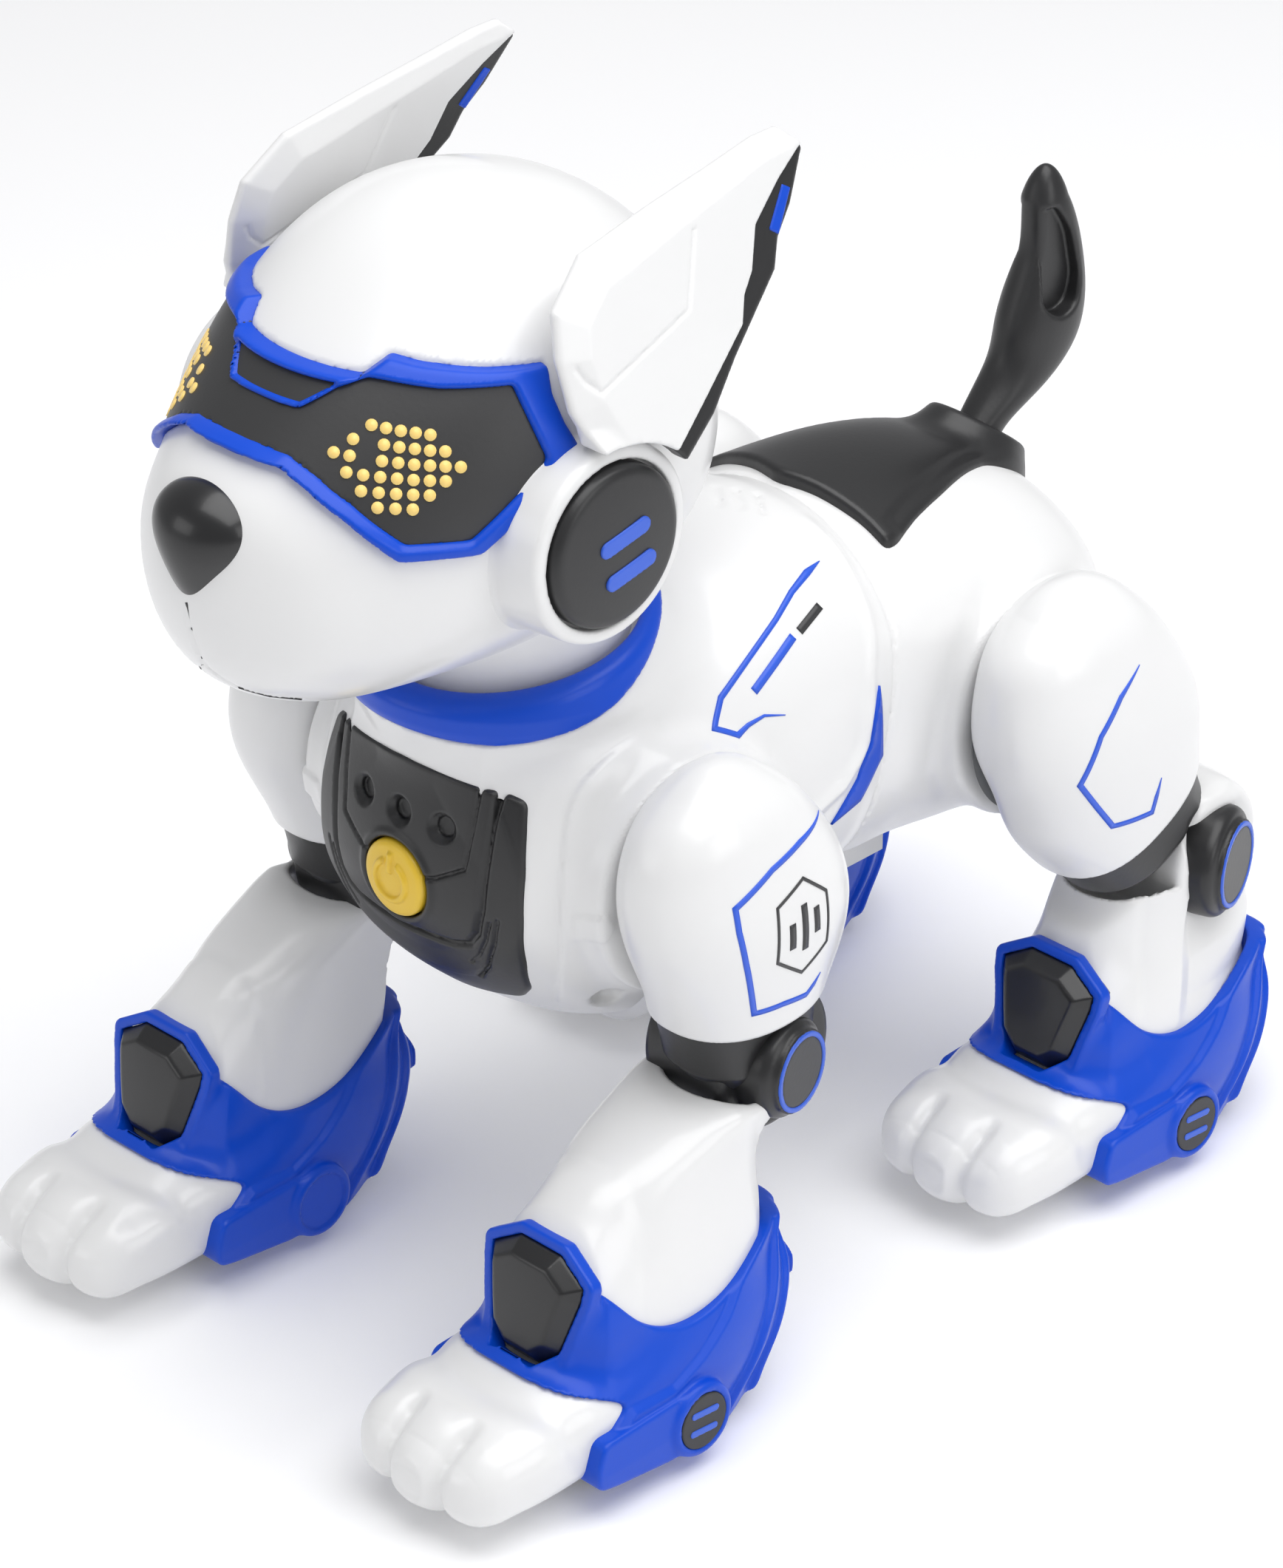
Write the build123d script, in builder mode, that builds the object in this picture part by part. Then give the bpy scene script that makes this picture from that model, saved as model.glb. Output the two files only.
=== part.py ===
from build123d import *
import math
import os

os.makedirs("parts", exist_ok=True)

# Robot dog toy. It faces -Y, its left side is +X, the ground is z = 0. Millimetres.

# ---- Fits and walls ---------------------------------------------------------------
WALL = 2.2                # moulded shell wall
SEAT = 0.05               # gap between pieces that bolt together
RUN = 0.05                # radial gap of every running pin and spigot
SWING = 0.6               # gap where one moulding sweeps past another

# ---- Body: ribs are (y, half width, top z, bottom z) ------------------------------
TORSO_RIBS = [
    (-66.0, 20.0, 124.0, 84.0),
    (-59.0, 31.0, 130.0, 74.0),
    (-46.5, 40.0, 138.0, 68.0),
    (-26.5, 42.0, 146.0, 66.0),
    (-1.5, 42.0, 151.0, 67.0),
    (23.5, 40.0, 154.0, 70.0),
    (43.5, 40.0, 156.0, 70.0),
    (68.5, 42.0, 153.0, 68.0),
    (88.5, 40.0, 145.0, 70.0),
    (103.5, 31.0, 132.0, 77.0),
    (112.0, 18.0, 118.0, 90.0),
]
BOSS_YZ = [(-8.0, 130.0), (50.0, 132.0), (-24.0, 82.0), (62.0, 82.0)]
BOSS_R = 4.5
SCREW_R = 1.5
SCREW_HEAD_R = 3.0
SCREW_TIP_X = 10.0
SCREW_HEAD_X = -28.0

# ---- Chest ------------------------------------------------------------------------
CHEST_R = 60.0            # the chest panel is part of a ball
CHEST_CENTRE = (0, -12.8, 104.0)
PANEL_OUTLINE = [(0, 123), (23.5, 129), (27, 112), (22, 83), (0, 75), (-22, 83), (-27, 112), (-23.5, 129)]
BUTTON_Z = 104.0
BUTTON_R = 8.0
BUTTON_TRAVEL = 1.2
BUTTON_FRONT_Y = -73.6
BUTTON_FLANGE_Y = -65.5

# ---- Head -------------------------------------------------------------------------
HEAD_RIBS = [
    (-121.0, 13.0, 202.5, 171.0),
    (-115.5, 22.0, 208.5, 164.0),
    (-106.0, 29.0, 215.5, 159.0),
    (-91.0, 36.3, 229.5, 156.0),
    (-76.5, 41.3, 240.5, 155.0),
    (-56.5, 44.3, 246.8, 155.0),
    (-36.5, 42.3, 244.5, 158.0),
    (-17.0, 33.3, 232.5, 166.0),
    (-8.0, 21.3, 219.0, 178.5),
    (-3.5, 12.0, 210.0, 188.0),
]
HEAD_SPLIT_Z = 172.0
VISOR_OUTER = [(0, 221), (8, 221), (16, 227), (20, 230), (43, 229), (48, 210), (38, 192), (32, 194.5), (0, 214)]
VISOR_EYE = [(10, 217.5), (20, 225.5), (39, 225), (44, 210), (37, 196), (33, 198)]
EAR_Y = -62.5
EAR_Z = 191.5
POD_R = 20.0
POD_OUT_X = 49.5
EAR_DISC_R = 16.2
EAR_BASE_Z = 213.0
EAR_SIDE = [(-66, 213), (-69.5, 228), (-61, 244), (-5, 254.5), (-3.5, 252.5), (-52, 235), (-55, 213)]
EAR_BACK_SIDE = [(-54.8, 213), (-51.8, 234.8), (-3.4, 252.3), (-1, 249.5), (-43, 226), (-49, 213)]
EAR_BASE_X = 48.8
EAR_LEAN = 15.5           # degrees the ear leans towards the head
EAR_THICK = 4.6
NECK_Y = -41.5
NECK_R = 9.0

# ---- Tail -------------------------------------------------------------------------
TAIL_ROOT = (0, 91.5, 141.0)
TAIL_ANGLE = -20.0        # degrees the root leans backwards
TAIL_STEM_R = 5.0
TAIL_RIBS = [(6.0, 6.0, 7.0, 0.0), (16.0, 7.0, 9.5, 1.0), (30.0, 7.5, 11.5, 0.5),
             (42.0, 6.5, 9.5, -2.0), (52.0, 3.5, 5.0, -6.0)]

# ---- Legs: y and z are for the body, x is for the left side -----------------------
LEG_X = 55.0
THIGH_IN_X = 43.5
LEGS = {
    "front": dict(hip=(-30.5, 107.0), dome=(-31.5, 105.0), dome_r=(27.0, 29.5), knee=(-29.5, 70.0),
                  drum_r=17.0, ankle=(-87.5, 0.0)),
    "rear": dict(hip=(69.5, 105.0), dome=(69.5, 105.0), dome_r=(30.5, 30.5), knee=(103.5, 62.0),
                 drum_r=18.5, ankle=(62.5, 0.0)),
}
DOME_DEPTH = 17.0
HUB_SPIGOT_R = 4.0
MOTOR = (20.0, 24.0, 24.0)
MOTOR_IN_X = 14.0
DRUM_X = (40.0, 61.0)
DISC_R = 11.5
KNEE_PIN_R = 3.0
CLIP_R = 6.5
CLIP_X = (48.0, 54.0)
TONGUE_WIDTH = 7.0
SLOT_R = 8.4               # room round the clip's eye inside the drum
SLOT_WEDGE = 46.0         # degrees each side of the thigh that the slot opens
SHANK_X = (42.0, 66.0)
SHANK_KNEE_R = 12.0
SHANK_FOOT_R = 11.0
SHANK_FOOT = (12.0, 34.0)  # centre of the shank's lower end behind and above the ankle datum
PAW_RIBS = [
    (-37.0, 9.0, 20.0, 7.0),
    (-31.0, 17.5, 26.0, 2.0),
    (-18.0, 21.5, 30.0, 0.8),
    (0.0, 22.5, 33.0, 0.8),
    (22.0, 22.5, 36.0, 0.8),
    (42.0, 20.0, 36.0, 2.0),
    (56.0, 13.0, 31.0, 6.0),
    (62.0, 6.0, 24.0, 11.0),
]
PAW_ROUND = 0.8           # corner radius of a paw section over its half height
WHEEL_R = 8.0
WHEEL_DY = 4.5
WHEEL_X = (42.0, 70.0)
AXLE_R = 1.5
AXLE_X = (39.0, 73.0)
GUARD_BOSS = (19.0, 12.0)
GUARD_BOSS_R = 9.5
PAD_Z = 37.0
PAD_R = 12.5
PAD_TILT = 12.0


def rib_faces(ribs, grow=0.0, centre_x=0.0):
    """Elliptical cross sections across Y, each pushed outwards by grow."""
    faces = []
    for y, half, top, bottom in ribs:
        middle = (centre_x, y, (top + bottom) / 2)
        with BuildSketch(Plane(origin=middle, x_dir=(1, 0, 0), z_dir=(0, -1, 0))) as rib:
            Ellipse(half + grow, (top - bottom) / 2 + grow)
        faces.append(rib.sketch)
    return faces


def front_plane(y):
    """Plane facing forwards, with x across and y up."""
    return Plane(origin=(0, y, 0), x_dir=(1, 0, 0), z_dir=(0, -1, 0))


def side_plane(x):
    """Plane facing the dog's left, with x along +Y and y up."""
    return Plane(origin=(x, 0, 0), x_dir=(0, 1, 0), z_dir=(1, 0, 0))


def on_side(x, y, z):
    """Location whose own +Z points to the dog's left."""
    return Location((x, y, z), (0, 90, 0))


def facing_front(x, y, z):
    """Location whose own +Z points forwards."""
    return Location((x, y, z), (90, 0, 0))


MIN_Z = (Align.CENTER, Align.CENTER, Align.MIN)


def save(part, name):
    part.label = name
    export_step(part, "parts/" + name + ".step")


def mirrored(part):
    return mirror(part, about=Plane.YZ)


def flipped(outline):
    return [(-x, z) for x, z in outline]


# ---- Torso ------------------------------------------------------------------------
def make_torso_shells():
    with BuildPart() as shells:
        loft(rib_faces(TORSO_RIBS))
        loft(rib_faces(TORSO_RIBS[1:-1], -WALL), mode=Mode.SUBTRACT)
        # screw bosses that meet on the parting plane
        with Locations(*[on_side(0, y, z) for y, z in BOSS_YZ]):
            Cylinder(BOSS_R, 70)
        # they end inside the skin
        loft(rib_faces(TORSO_RIBS), mode=Mode.INTERSECT)
        with Locations(*[on_side(SCREW_HEAD_X, y, z) for y, z in BOSS_YZ]):
            Cylinder(SCREW_R + SEAT, SCREW_TIP_X - SCREW_HEAD_X + 2, align=MIN_Z, mode=Mode.SUBTRACT)
        with Locations(*[on_side(SCREW_HEAD_X - 40, y, z) for y, z in BOSS_YZ]):
            Cylinder(SCREW_HEAD_R + 0.2, 40, align=MIN_Z, mode=Mode.SUBTRACT)
        # hip openings
        for leg in LEGS.values():
            with Locations(on_side(0, *leg["hip"])):
                Cylinder(HUB_SPIGOT_R + SWING, 120, mode=Mode.SUBTRACT)
        # neck opening, tail opening, button well and belly opening
        with Locations((0, NECK_Y, 125)):
            Cylinder(NECK_R + SWING, 40, align=MIN_Z, mode=Mode.SUBTRACT)
        with Locations(Location(TAIL_ROOT, (TAIL_ANGLE, 0, 0))):
            Cylinder(TAIL_STEM_R + SWING, 30, mode=Mode.SUBTRACT)
        with Locations(facing_front(0, -55, BUTTON_Z)):
            Cylinder(BUTTON_R + 2, 20, align=MIN_Z, mode=Mode.SUBTRACT)
        with Locations((0, 20, 60)):
            Box(32 + 2 * SEAT, 64 + 2 * SEAT, 20, align=MIN_Z, mode=Mode.SUBTRACT)
    with BuildPart() as left:
        add(shells.part)
        split(bisect_by=Plane.YZ, keep=Keep.TOP)
    with BuildPart() as right:
        add(shells.part)
        split(bisect_by=Plane.YZ, keep=Keep.BOTTOM)
    save(left.part, "torso_shell_left")
    save(right.part, "torso_shell_right")


def make_shell_screws():
    with BuildPart() as screws:
        with Locations(*[on_side(SCREW_HEAD_X, y, z) for y, z in BOSS_YZ]):
            Cylinder(SCREW_R, SCREW_TIP_X - SCREW_HEAD_X, align=MIN_Z)
        with Locations(*[on_side(SCREW_HEAD_X - 2, y, z) for y, z in BOSS_YZ]):
            Cylinder(SCREW_HEAD_R, 2, align=MIN_Z)
        with Locations(*[on_side(SCREW_HEAD_X - 2, y, z) for y, z in BOSS_YZ]):
            Box(1, 4, 2, mode=Mode.SUBTRACT)
            Box(1, 2, 4, mode=Mode.SUBTRACT)
    save(screws.part, "shell_screws")


def make_battery_door():
    with BuildPart() as door:
        with Locations((0, 20, 65)):
            Box(32, 64, 11, align=MIN_Z)
        top = door.faces().sort_by(Axis.Z)[-1]
        offset(amount=-WALL, openings=top)
    save(door.part, "battery_door")


def make_battery_pack():
    with BuildPart() as pack:
        with Locations((0, 20, 90)):
            Box(38, 66, 19)
        fillet(pack.edges().filter_by(Axis.Y), 9)
    save(pack.part, "battery_pack")


def make_control_board():
    with BuildPart() as board:
        with Locations((0, 20, 106)):
            Box(44, 66, 1.6)
        with Locations((0, 12, 108)):
            Box(14, 14, 2.4)
        with GridLocations(30, 44, 2, 2):
            with Locations((0, 20, 109.3)):
                Cylinder(4, 5)
    save(board.part, "control_board")


def make_speaker():
    with BuildPart() as speaker:
        with Locations(facing_front(0, -46, 88)):
            Cylinder(8, 4, align=MIN_Z)
        with Locations(facing_front(0, -50, 88)):
            Cone(8, 13, 4, align=MIN_Z)
        # hollow of the paper cone
        with Locations(facing_front(0, -51.5, 88)):
            Cone(4, 11, 2.5, align=MIN_Z, mode=Mode.SUBTRACT)
    save(speaker.part, "speaker")


def make_gearmotors():
    with BuildPart() as motors:
        for leg in LEGS.values():
            y, z = leg["hip"]
            with Locations((MOTOR_IN_X + MOTOR[0] / 2, y, z), (-MOTOR_IN_X - MOTOR[0] / 2, y, z)):
                Box(*MOTOR)
            with Locations(on_side(0, y, z)):
                Cylinder(HUB_SPIGOT_R + RUN, 120, mode=Mode.SUBTRACT)
    save(motors.part, "gearmotors")


def make_chest_panel():
    with BuildPart() as panel:
        with BuildSketch(front_plane(-50)):
            Polygon(*PANEL_OUTLINE, align=None)
            fillet(vertices(), 3)
        extrude(amount=30)
        with Locations(CHEST_CENTRE):
            Sphere(CHEST_R, mode=Mode.INTERSECT)
        loft(rib_faces(TORSO_RIBS, SEAT), mode=Mode.SUBTRACT)
        with BuildSketch(front_plane(-66.05)):
            Rectangle(60, 400)
        extrude(amount=-30, mode=Mode.SUBTRACT)
        # button bore, three screw recesses and two sound slots
        with Locations(facing_front(0, -60, BUTTON_Z)):
            Cylinder(BUTTON_R + RUN, 20, align=MIN_Z, mode=Mode.SUBTRACT)
        with Locations(*[facing_front(x, -66, 118) for x in (-11, 0, 11)]):
            Cylinder(1.4, 12, mode=Mode.SUBTRACT)
        with Locations(*[facing_front(x, -68.5, 118) for x in (-11, 0, 11)]):
            Cylinder(2.6, 6, align=MIN_Z, mode=Mode.SUBTRACT)
        with Locations(*[facing_front(x, -60, 86) for x in (-5, 5)]):
            Box(7, 2, 20, align=MIN_Z, mode=Mode.SUBTRACT)
    save(panel.part, "chest_panel")


def make_power_button():
    with BuildPart() as button:
        with Locations(facing_front(0, BUTTON_FLANGE_Y, BUTTON_Z)):
            Cylinder(BUTTON_R, BUTTON_FLANGE_Y - BUTTON_FRONT_Y, align=MIN_Z)
        with Locations(facing_front(0, BUTTON_FLANGE_Y + 1.5, BUTTON_Z)):
            Cylinder(BUTTON_R + 1.2, 1.5, align=MIN_Z)
        with Locations(facing_front(0, BUTTON_FLANGE_Y + 5.5, BUTTON_Z)):
            Cylinder(3, 5, align=MIN_Z)
        fillet(button.faces().sort_by(Axis.Y)[0].edges(), 0.8)
        # raised on/off sign
        with BuildSketch(front_plane(BUTTON_FRONT_Y)):
            with Locations((0, BUTTON_Z)):
                Circle(4.2)
                Circle(3.2, mode=Mode.SUBTRACT)
            with Locations((0, BUTTON_Z + 4)):
                Rectangle(3, 4, mode=Mode.SUBTRACT)
                Rectangle(1, 4)
        extrude(amount=0.5)
    save(button.part, "power_button")


def make_saddle_cover():
    with BuildPart() as saddle:
        with BuildSketch(Plane.XY.offset(118)):
            Polygon((0, 29), (26, 33), (34, 60), (28, 92), (12, 108), (-12, 108), (-28, 92), (-34, 60),
                    (-26, 33), align=None)
            fillet(vertices(), 4)
        extrude(amount=50)
        loft(rib_faces(TORSO_RIBS, 2.2), mode=Mode.INTERSECT)
        # socket ring for the tail
        with Locations(Location(TAIL_ROOT, (TAIL_ANGLE, 0, 0))):
            Cylinder(10, 5.4, align=MIN_Z)
        loft(rib_faces(TORSO_RIBS, SEAT), mode=Mode.SUBTRACT)
        with Locations(Location(TAIL_ROOT, (TAIL_ANGLE, 0, 0))):
            Cylinder(TAIL_STEM_R + RUN, 40, mode=Mode.SUBTRACT)
    save(saddle.part, "saddle_cover")


def make_tail():
    root = Plane(Location(TAIL_ROOT, (TAIL_ANGLE, 0, 0)))
    sections = []
    for up, half_x, half_y, lean in TAIL_RIBS:
        with BuildSketch(root.offset(up)) as rib:
            with Locations((0, lean)):
                Ellipse(half_x, half_y)
        sections.append(rib.sketch)
    with BuildPart() as tail:
        loft(sections)
        with Locations(Location(TAIL_ROOT, (TAIL_ANGLE, 0, 0))):
            Cylinder(TAIL_STEM_R, 14)
    save(tail.part, "tail")


def make_waist_trims():
    with BuildPart() as trims:
        with BuildSketch(side_plane(-60)):
            Polygon((24, 131), (30, 131), (26, 118), (12, 96), (7, 96), (21, 118), align=None)
        extrude(amount=120)
        loft(rib_faces(TORSO_RIBS, 1.2), mode=Mode.INTERSECT)
        loft(rib_faces(TORSO_RIBS, SEAT), mode=Mode.SUBTRACT)
    save(trims.part, "waist_trims")


def make_neck_collar():
    with BuildPart() as collar:
        # ring that the head turns above
        with Locations((0, NECK_Y, 134)):
            Cylinder(29, 19, align=MIN_Z)
        # pointed bib down the chest
        with BuildSketch(front_plane(-50)):
            Polygon((-29, 153), (29, 153), (25, 134), (0, 126), (-25, 134), align=None)
        extrude(amount=30)
        with Locations((0, NECK_Y, 100)):
            Cylinder(34, 60, align=MIN_Z, mode=Mode.INTERSECT)
        with Locations((0, NECK_Y, 100)):
            Cylinder(25, 60, align=MIN_Z, mode=Mode.SUBTRACT)
        loft(rib_faces(TORSO_RIBS, SEAT), mode=Mode.SUBTRACT)
        with BuildSketch(front_plane(-50)):
            Polygon(*PANEL_OUTLINE, align=None)
            offset(amount=SEAT)
        extrude(amount=40, mode=Mode.SUBTRACT)
    save(collar.part, "neck_collar")


# ---- Head -------------------------------------------------------------------------
def make_head_shells():
    with BuildPart() as shell:
        loft(rib_faces(HEAD_RIBS))
        loft(rib_faces(HEAD_RIBS[1:-1], -WALL), mode=Mode.SUBTRACT)
        with Locations((0, NECK_Y, 150)):
            Cylinder(NECK_R + SEAT, 16, align=MIN_Z, mode=Mode.SUBTRACT)
    parting = Plane.XY.offset(HEAD_SPLIT_Z)
    with BuildPart() as upper:
        add(shell.part)
        split(bisect_by=parting, keep=Keep.TOP)
    with BuildPart() as lower:
        add(shell.part)
        split(bisect_by=parting, keep=Keep.BOTTOM)
    save(upper.part, "head_shell_upper")
    save(lower.part, "head_shell_lower")


def make_visor_frame():
    with BuildPart() as frame:
        with BuildSketch(front_plane(-66)):
            Polygon(*VISOR_OUTER, align=None)
            Polygon(*flipped(VISOR_OUTER), align=None)
            Polygon(*VISOR_EYE, align=None, mode=Mode.SUBTRACT)
            Polygon(*flipped(VISOR_EYE), align=None, mode=Mode.SUBTRACT)
        extrude(amount=80)
        loft(rib_faces(HEAD_RIBS, 1.8), mode=Mode.INTERSECT)
        loft(rib_faces(HEAD_RIBS, SEAT), mode=Mode.SUBTRACT)
        with Locations(on_side(0, EAR_Y, EAR_Z)):
            Cylinder(POD_R + SEAT, 120, mode=Mode.SUBTRACT)
    save(frame.part, "visor_frame")


def make_visor_lens():
    with BuildPart() as lens:
        with BuildSketch(front_plane(-66)):
            Polygon(*VISOR_EYE, align=None)
            Polygon(*flipped(VISOR_EYE), align=None)
            offset(amount=-SEAT)
        extrude(amount=80)
        loft(rib_faces(HEAD_RIBS, 1.2), mode=Mode.INTERSECT)
        loft(rib_faces(HEAD_RIBS, SEAT), mode=Mode.SUBTRACT)
        with Locations(on_side(0, EAR_Y, EAR_Z)):
            Cylinder(POD_R + SEAT, 120, mode=Mode.SUBTRACT)
    save(lens.part, "visor_lens")


def make_nose():
    with BuildPart() as nose:
        with BuildSketch(front_plane(-110)):
            Polygon((-12, 204), (12, 204), (0, 180), align=None)
            fillet(vertices(), 4)
        extrude(amount=13.8)
        fillet(nose.faces().sort_by(Axis.Y)[0].edges(), 1.5)
        loft(rib_faces(HEAD_RIBS, SEAT), mode=Mode.SUBTRACT)
    save(nose.part, "nose")


def make_eye_led_board():
    with BuildPart() as board:
        with Locations((0, -88, 207)):
            Box(44, 1.6, 20)
        # one square lamp carrier per eye
        with Locations((-13, -89.6, 207), (13, -89.6, 207)):
            Box(14, 1.6, 14)
    save(board.part, "eye_led_board")


def make_ear_pods():
    with BuildPart() as pod:
        with Locations(on_side(36, EAR_Y, EAR_Z)):
            Cylinder(POD_R, POD_OUT_X - 36, align=MIN_Z)
        fillet(pod.faces().sort_by(Axis.X)[-1].edges(), 2)
        # seat of the disc, room for the ear's arm, slot where the arm comes out
        with Locations(on_side(POD_OUT_X - 1.5, EAR_Y, EAR_Z)):
            Cylinder(EAR_DISC_R + SEAT, 5, align=MIN_Z, mode=Mode.SUBTRACT)
        with Locations(on_side(45.2, EAR_Y, EAR_Z)):
            Cylinder(9, 3, align=MIN_Z, mode=Mode.SUBTRACT)
        with Locations((45.2, EAR_Y, EAR_Z)):
            Box(2.8, 26, 26, align=(Align.MIN, Align.CENTER, Align.MIN), mode=Mode.SUBTRACT)
        loft(rib_faces(HEAD_RIBS, SEAT), mode=Mode.SUBTRACT)
    with BuildPart() as pods:
        add(pod.part)
        mirror(pod.part, about=Plane.YZ)
    save(pods.part, "ear_pods")


def make_ear_discs():
    with BuildPart() as disc:
        with Locations(on_side(POD_OUT_X - 1.5 + SEAT, EAR_Y, EAR_Z)):
            Cylinder(EAR_DISC_R, 4.2, align=MIN_Z)
        fillet(disc.faces().sort_by(Axis.X)[-1].edges(), 1)
        # pin that the ear turns on
        with Locations(on_side(45.3, EAR_Y, EAR_Z)):
            Cylinder(2.5, 4, align=MIN_Z)
        # two slanted bars stand out of the face
        with BuildSketch(side_plane(POD_OUT_X + 2.7)):
            with Locations(Location((EAR_Y - 4, EAR_Z - 2), 30), Location((EAR_Y + 5, EAR_Z + 2), 30)):
                SlotOverall(17, 4)
        extrude(amount=0.6)
    with BuildPart() as discs:
        add(disc.part)
        mirror(disc.part, about=Plane.YZ)
    save(discs.part, "ear_discs")


def ear_slab(outline):
    """Flat moulding that leans towards the top of the head, on the left side."""
    base = (EAR_BASE_X, 0, EAR_BASE_Z)
    outward = Vector(1, 0, 0).rotate(Axis.Y, -EAR_LEAN)
    stretch = 1 / math.cos(math.radians(EAR_LEAN))
    with BuildPart() as slab:
        with BuildSketch(Plane(origin=base, x_dir=(0, 1, 0), z_dir=outward)):
            Polygon(*[(y, (z - EAR_BASE_Z) * stretch) for y, z in outline], align=None)
        extrude(amount=-EAR_THICK)
    return slab.part


def make_ears():
    with BuildPart() as shell:
        add(ear_slab(EAR_SIDE))
        # arm down to the pivot inside the pod
        with BuildSketch(side_plane(45.6)):
            with Locations((EAR_Y, EAR_Z)):
                Circle(6)
            Polygon((EAR_Y - 4, EAR_Z), (EAR_Y + 4, EAR_Z), (EAR_Y + 4, EAR_BASE_Z + 2),
                    (EAR_Y - 4, EAR_BASE_Z + 2), align=None)
            with Locations((EAR_Y, EAR_Z)):
                Circle(2.5 + RUN, mode=Mode.SUBTRACT)
        extrude(amount=2.0)
    with BuildPart() as back:
        add(ear_slab(EAR_BACK_SIDE))
    save(shell.part, "ear_shell_left")
    save(mirrored(shell.part), "ear_shell_right")
    save(back.part, "ear_back_left")
    save(mirrored(back.part), "ear_back_right")


def make_neck_post():
    with BuildPart() as post:
        with Locations((0, NECK_Y, 127)):
            Cylinder(13, 2, align=MIN_Z)
            Cylinder(NECK_R, 38, align=MIN_Z)
        with Locations((0, NECK_Y, 165)):
            Cylinder(15, 2, align=MIN_Z)
        with Locations((0, NECK_Y, 147)):
            Cylinder(5, 60, mode=Mode.SUBTRACT)
    save(post.part, "neck_post")


# ---- Legs -------------------------------------------------------------------------
def dome_faces(leg, grow=0.0, first_x=THIGH_IN_X):
    """Sections of the thigh dome across X, from its flat inner side to its tip."""
    (y, z), (half_y, half_z) = leg["dome"], leg["dome_r"]
    last_x = LEG_X + 0.94 * DOME_DEPTH + grow
    faces = []
    for step in range(6):
        x = first_x + (last_x - first_x) * math.sin(step / 5 * math.pi / 2)
        size = math.sqrt(1 - ((x - LEG_X) / (DOME_DEPTH + grow)) ** 2)
        with BuildSketch(Plane(origin=(x, y, z), x_dir=(0, 1, 0), z_dir=(1, 0, 0))) as rib:
            Ellipse((half_y + grow) * size, (half_z + grow) * size)
        faces.append(rib.sketch)
    return faces


def make_thigh_shell(leg):
    """Hollow dome with a clip on its lower end that snaps over the knee pin."""
    knee = leg["knee"]
    dome_y, dome_z = leg["dome"]
    reach = math.dist(knee, leg["dome"])
    slope = math.degrees(math.atan2(dome_y - knee[0], dome_z - knee[1]))
    knee_up = Location((*knee, 0), (0, 0, -slope))
    with BuildPart() as cavity:
        loft(dome_faces(leg, -WALL))
        # the web between the tongue and the outer skin stays solid
        with BuildSketch(side_plane(CLIP_X[1] - 0.4)):
            with Locations(knee_up):
                Rectangle(TONGUE_WIDTH, reach, align=(Align.CENTER, Align.MIN))
        extrude(amount=40, mode=Mode.SUBTRACT)
    with BuildPart() as thigh:
        loft(dome_faces(leg))
        add(cavity.part, mode=Mode.SUBTRACT)
        # clear of the knee drum
        with Locations(on_side(30, *knee)):
            Cylinder(leg["drum_r"] + SWING, 60, align=MIN_Z, mode=Mode.SUBTRACT)
        # tongue that runs down from the dome's middle, with the clip eye
        with BuildSketch(side_plane(CLIP_X[0] + 0.3)):
            with Locations(knee_up):
                Circle(CLIP_R)
                Rectangle(TONGUE_WIDTH, reach - 8, align=(Align.CENTER, Align.MIN))
                Circle(KNEE_PIN_R + RUN, mode=Mode.SUBTRACT)
                # the eye is open below, so that it snaps over the pin
                Rectangle(5, 12, align=(Align.CENTER, Align.MAX), mode=Mode.SUBTRACT)
        extrude(amount=CLIP_X[1] - CLIP_X[0] - 0.6)
    return thigh.part


def make_hip_hub(leg):
    """Plate that closes the dome, with the spigot that turns in the gearmotor."""
    with BuildPart() as hub:
        loft(dome_faces(leg, -WALL - SEAT))
        with Locations((THIGH_IN_X + 2.2, *leg["dome"])):
            Box(100, 100, 100, align=(Align.MIN, Align.CENTER, Align.CENTER), mode=Mode.SUBTRACT)
        with Locations(on_side(30, *leg["knee"])):
            Cylinder(leg["drum_r"] + SWING, 60, align=MIN_Z, mode=Mode.SUBTRACT)
        with Locations(on_side(MOTOR_IN_X + 4, *leg["hip"])):
            Cylinder(HUB_SPIGOT_R, THIGH_IN_X + 1 - MOTOR_IN_X - 4, align=MIN_Z)
    return hub.part


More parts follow.
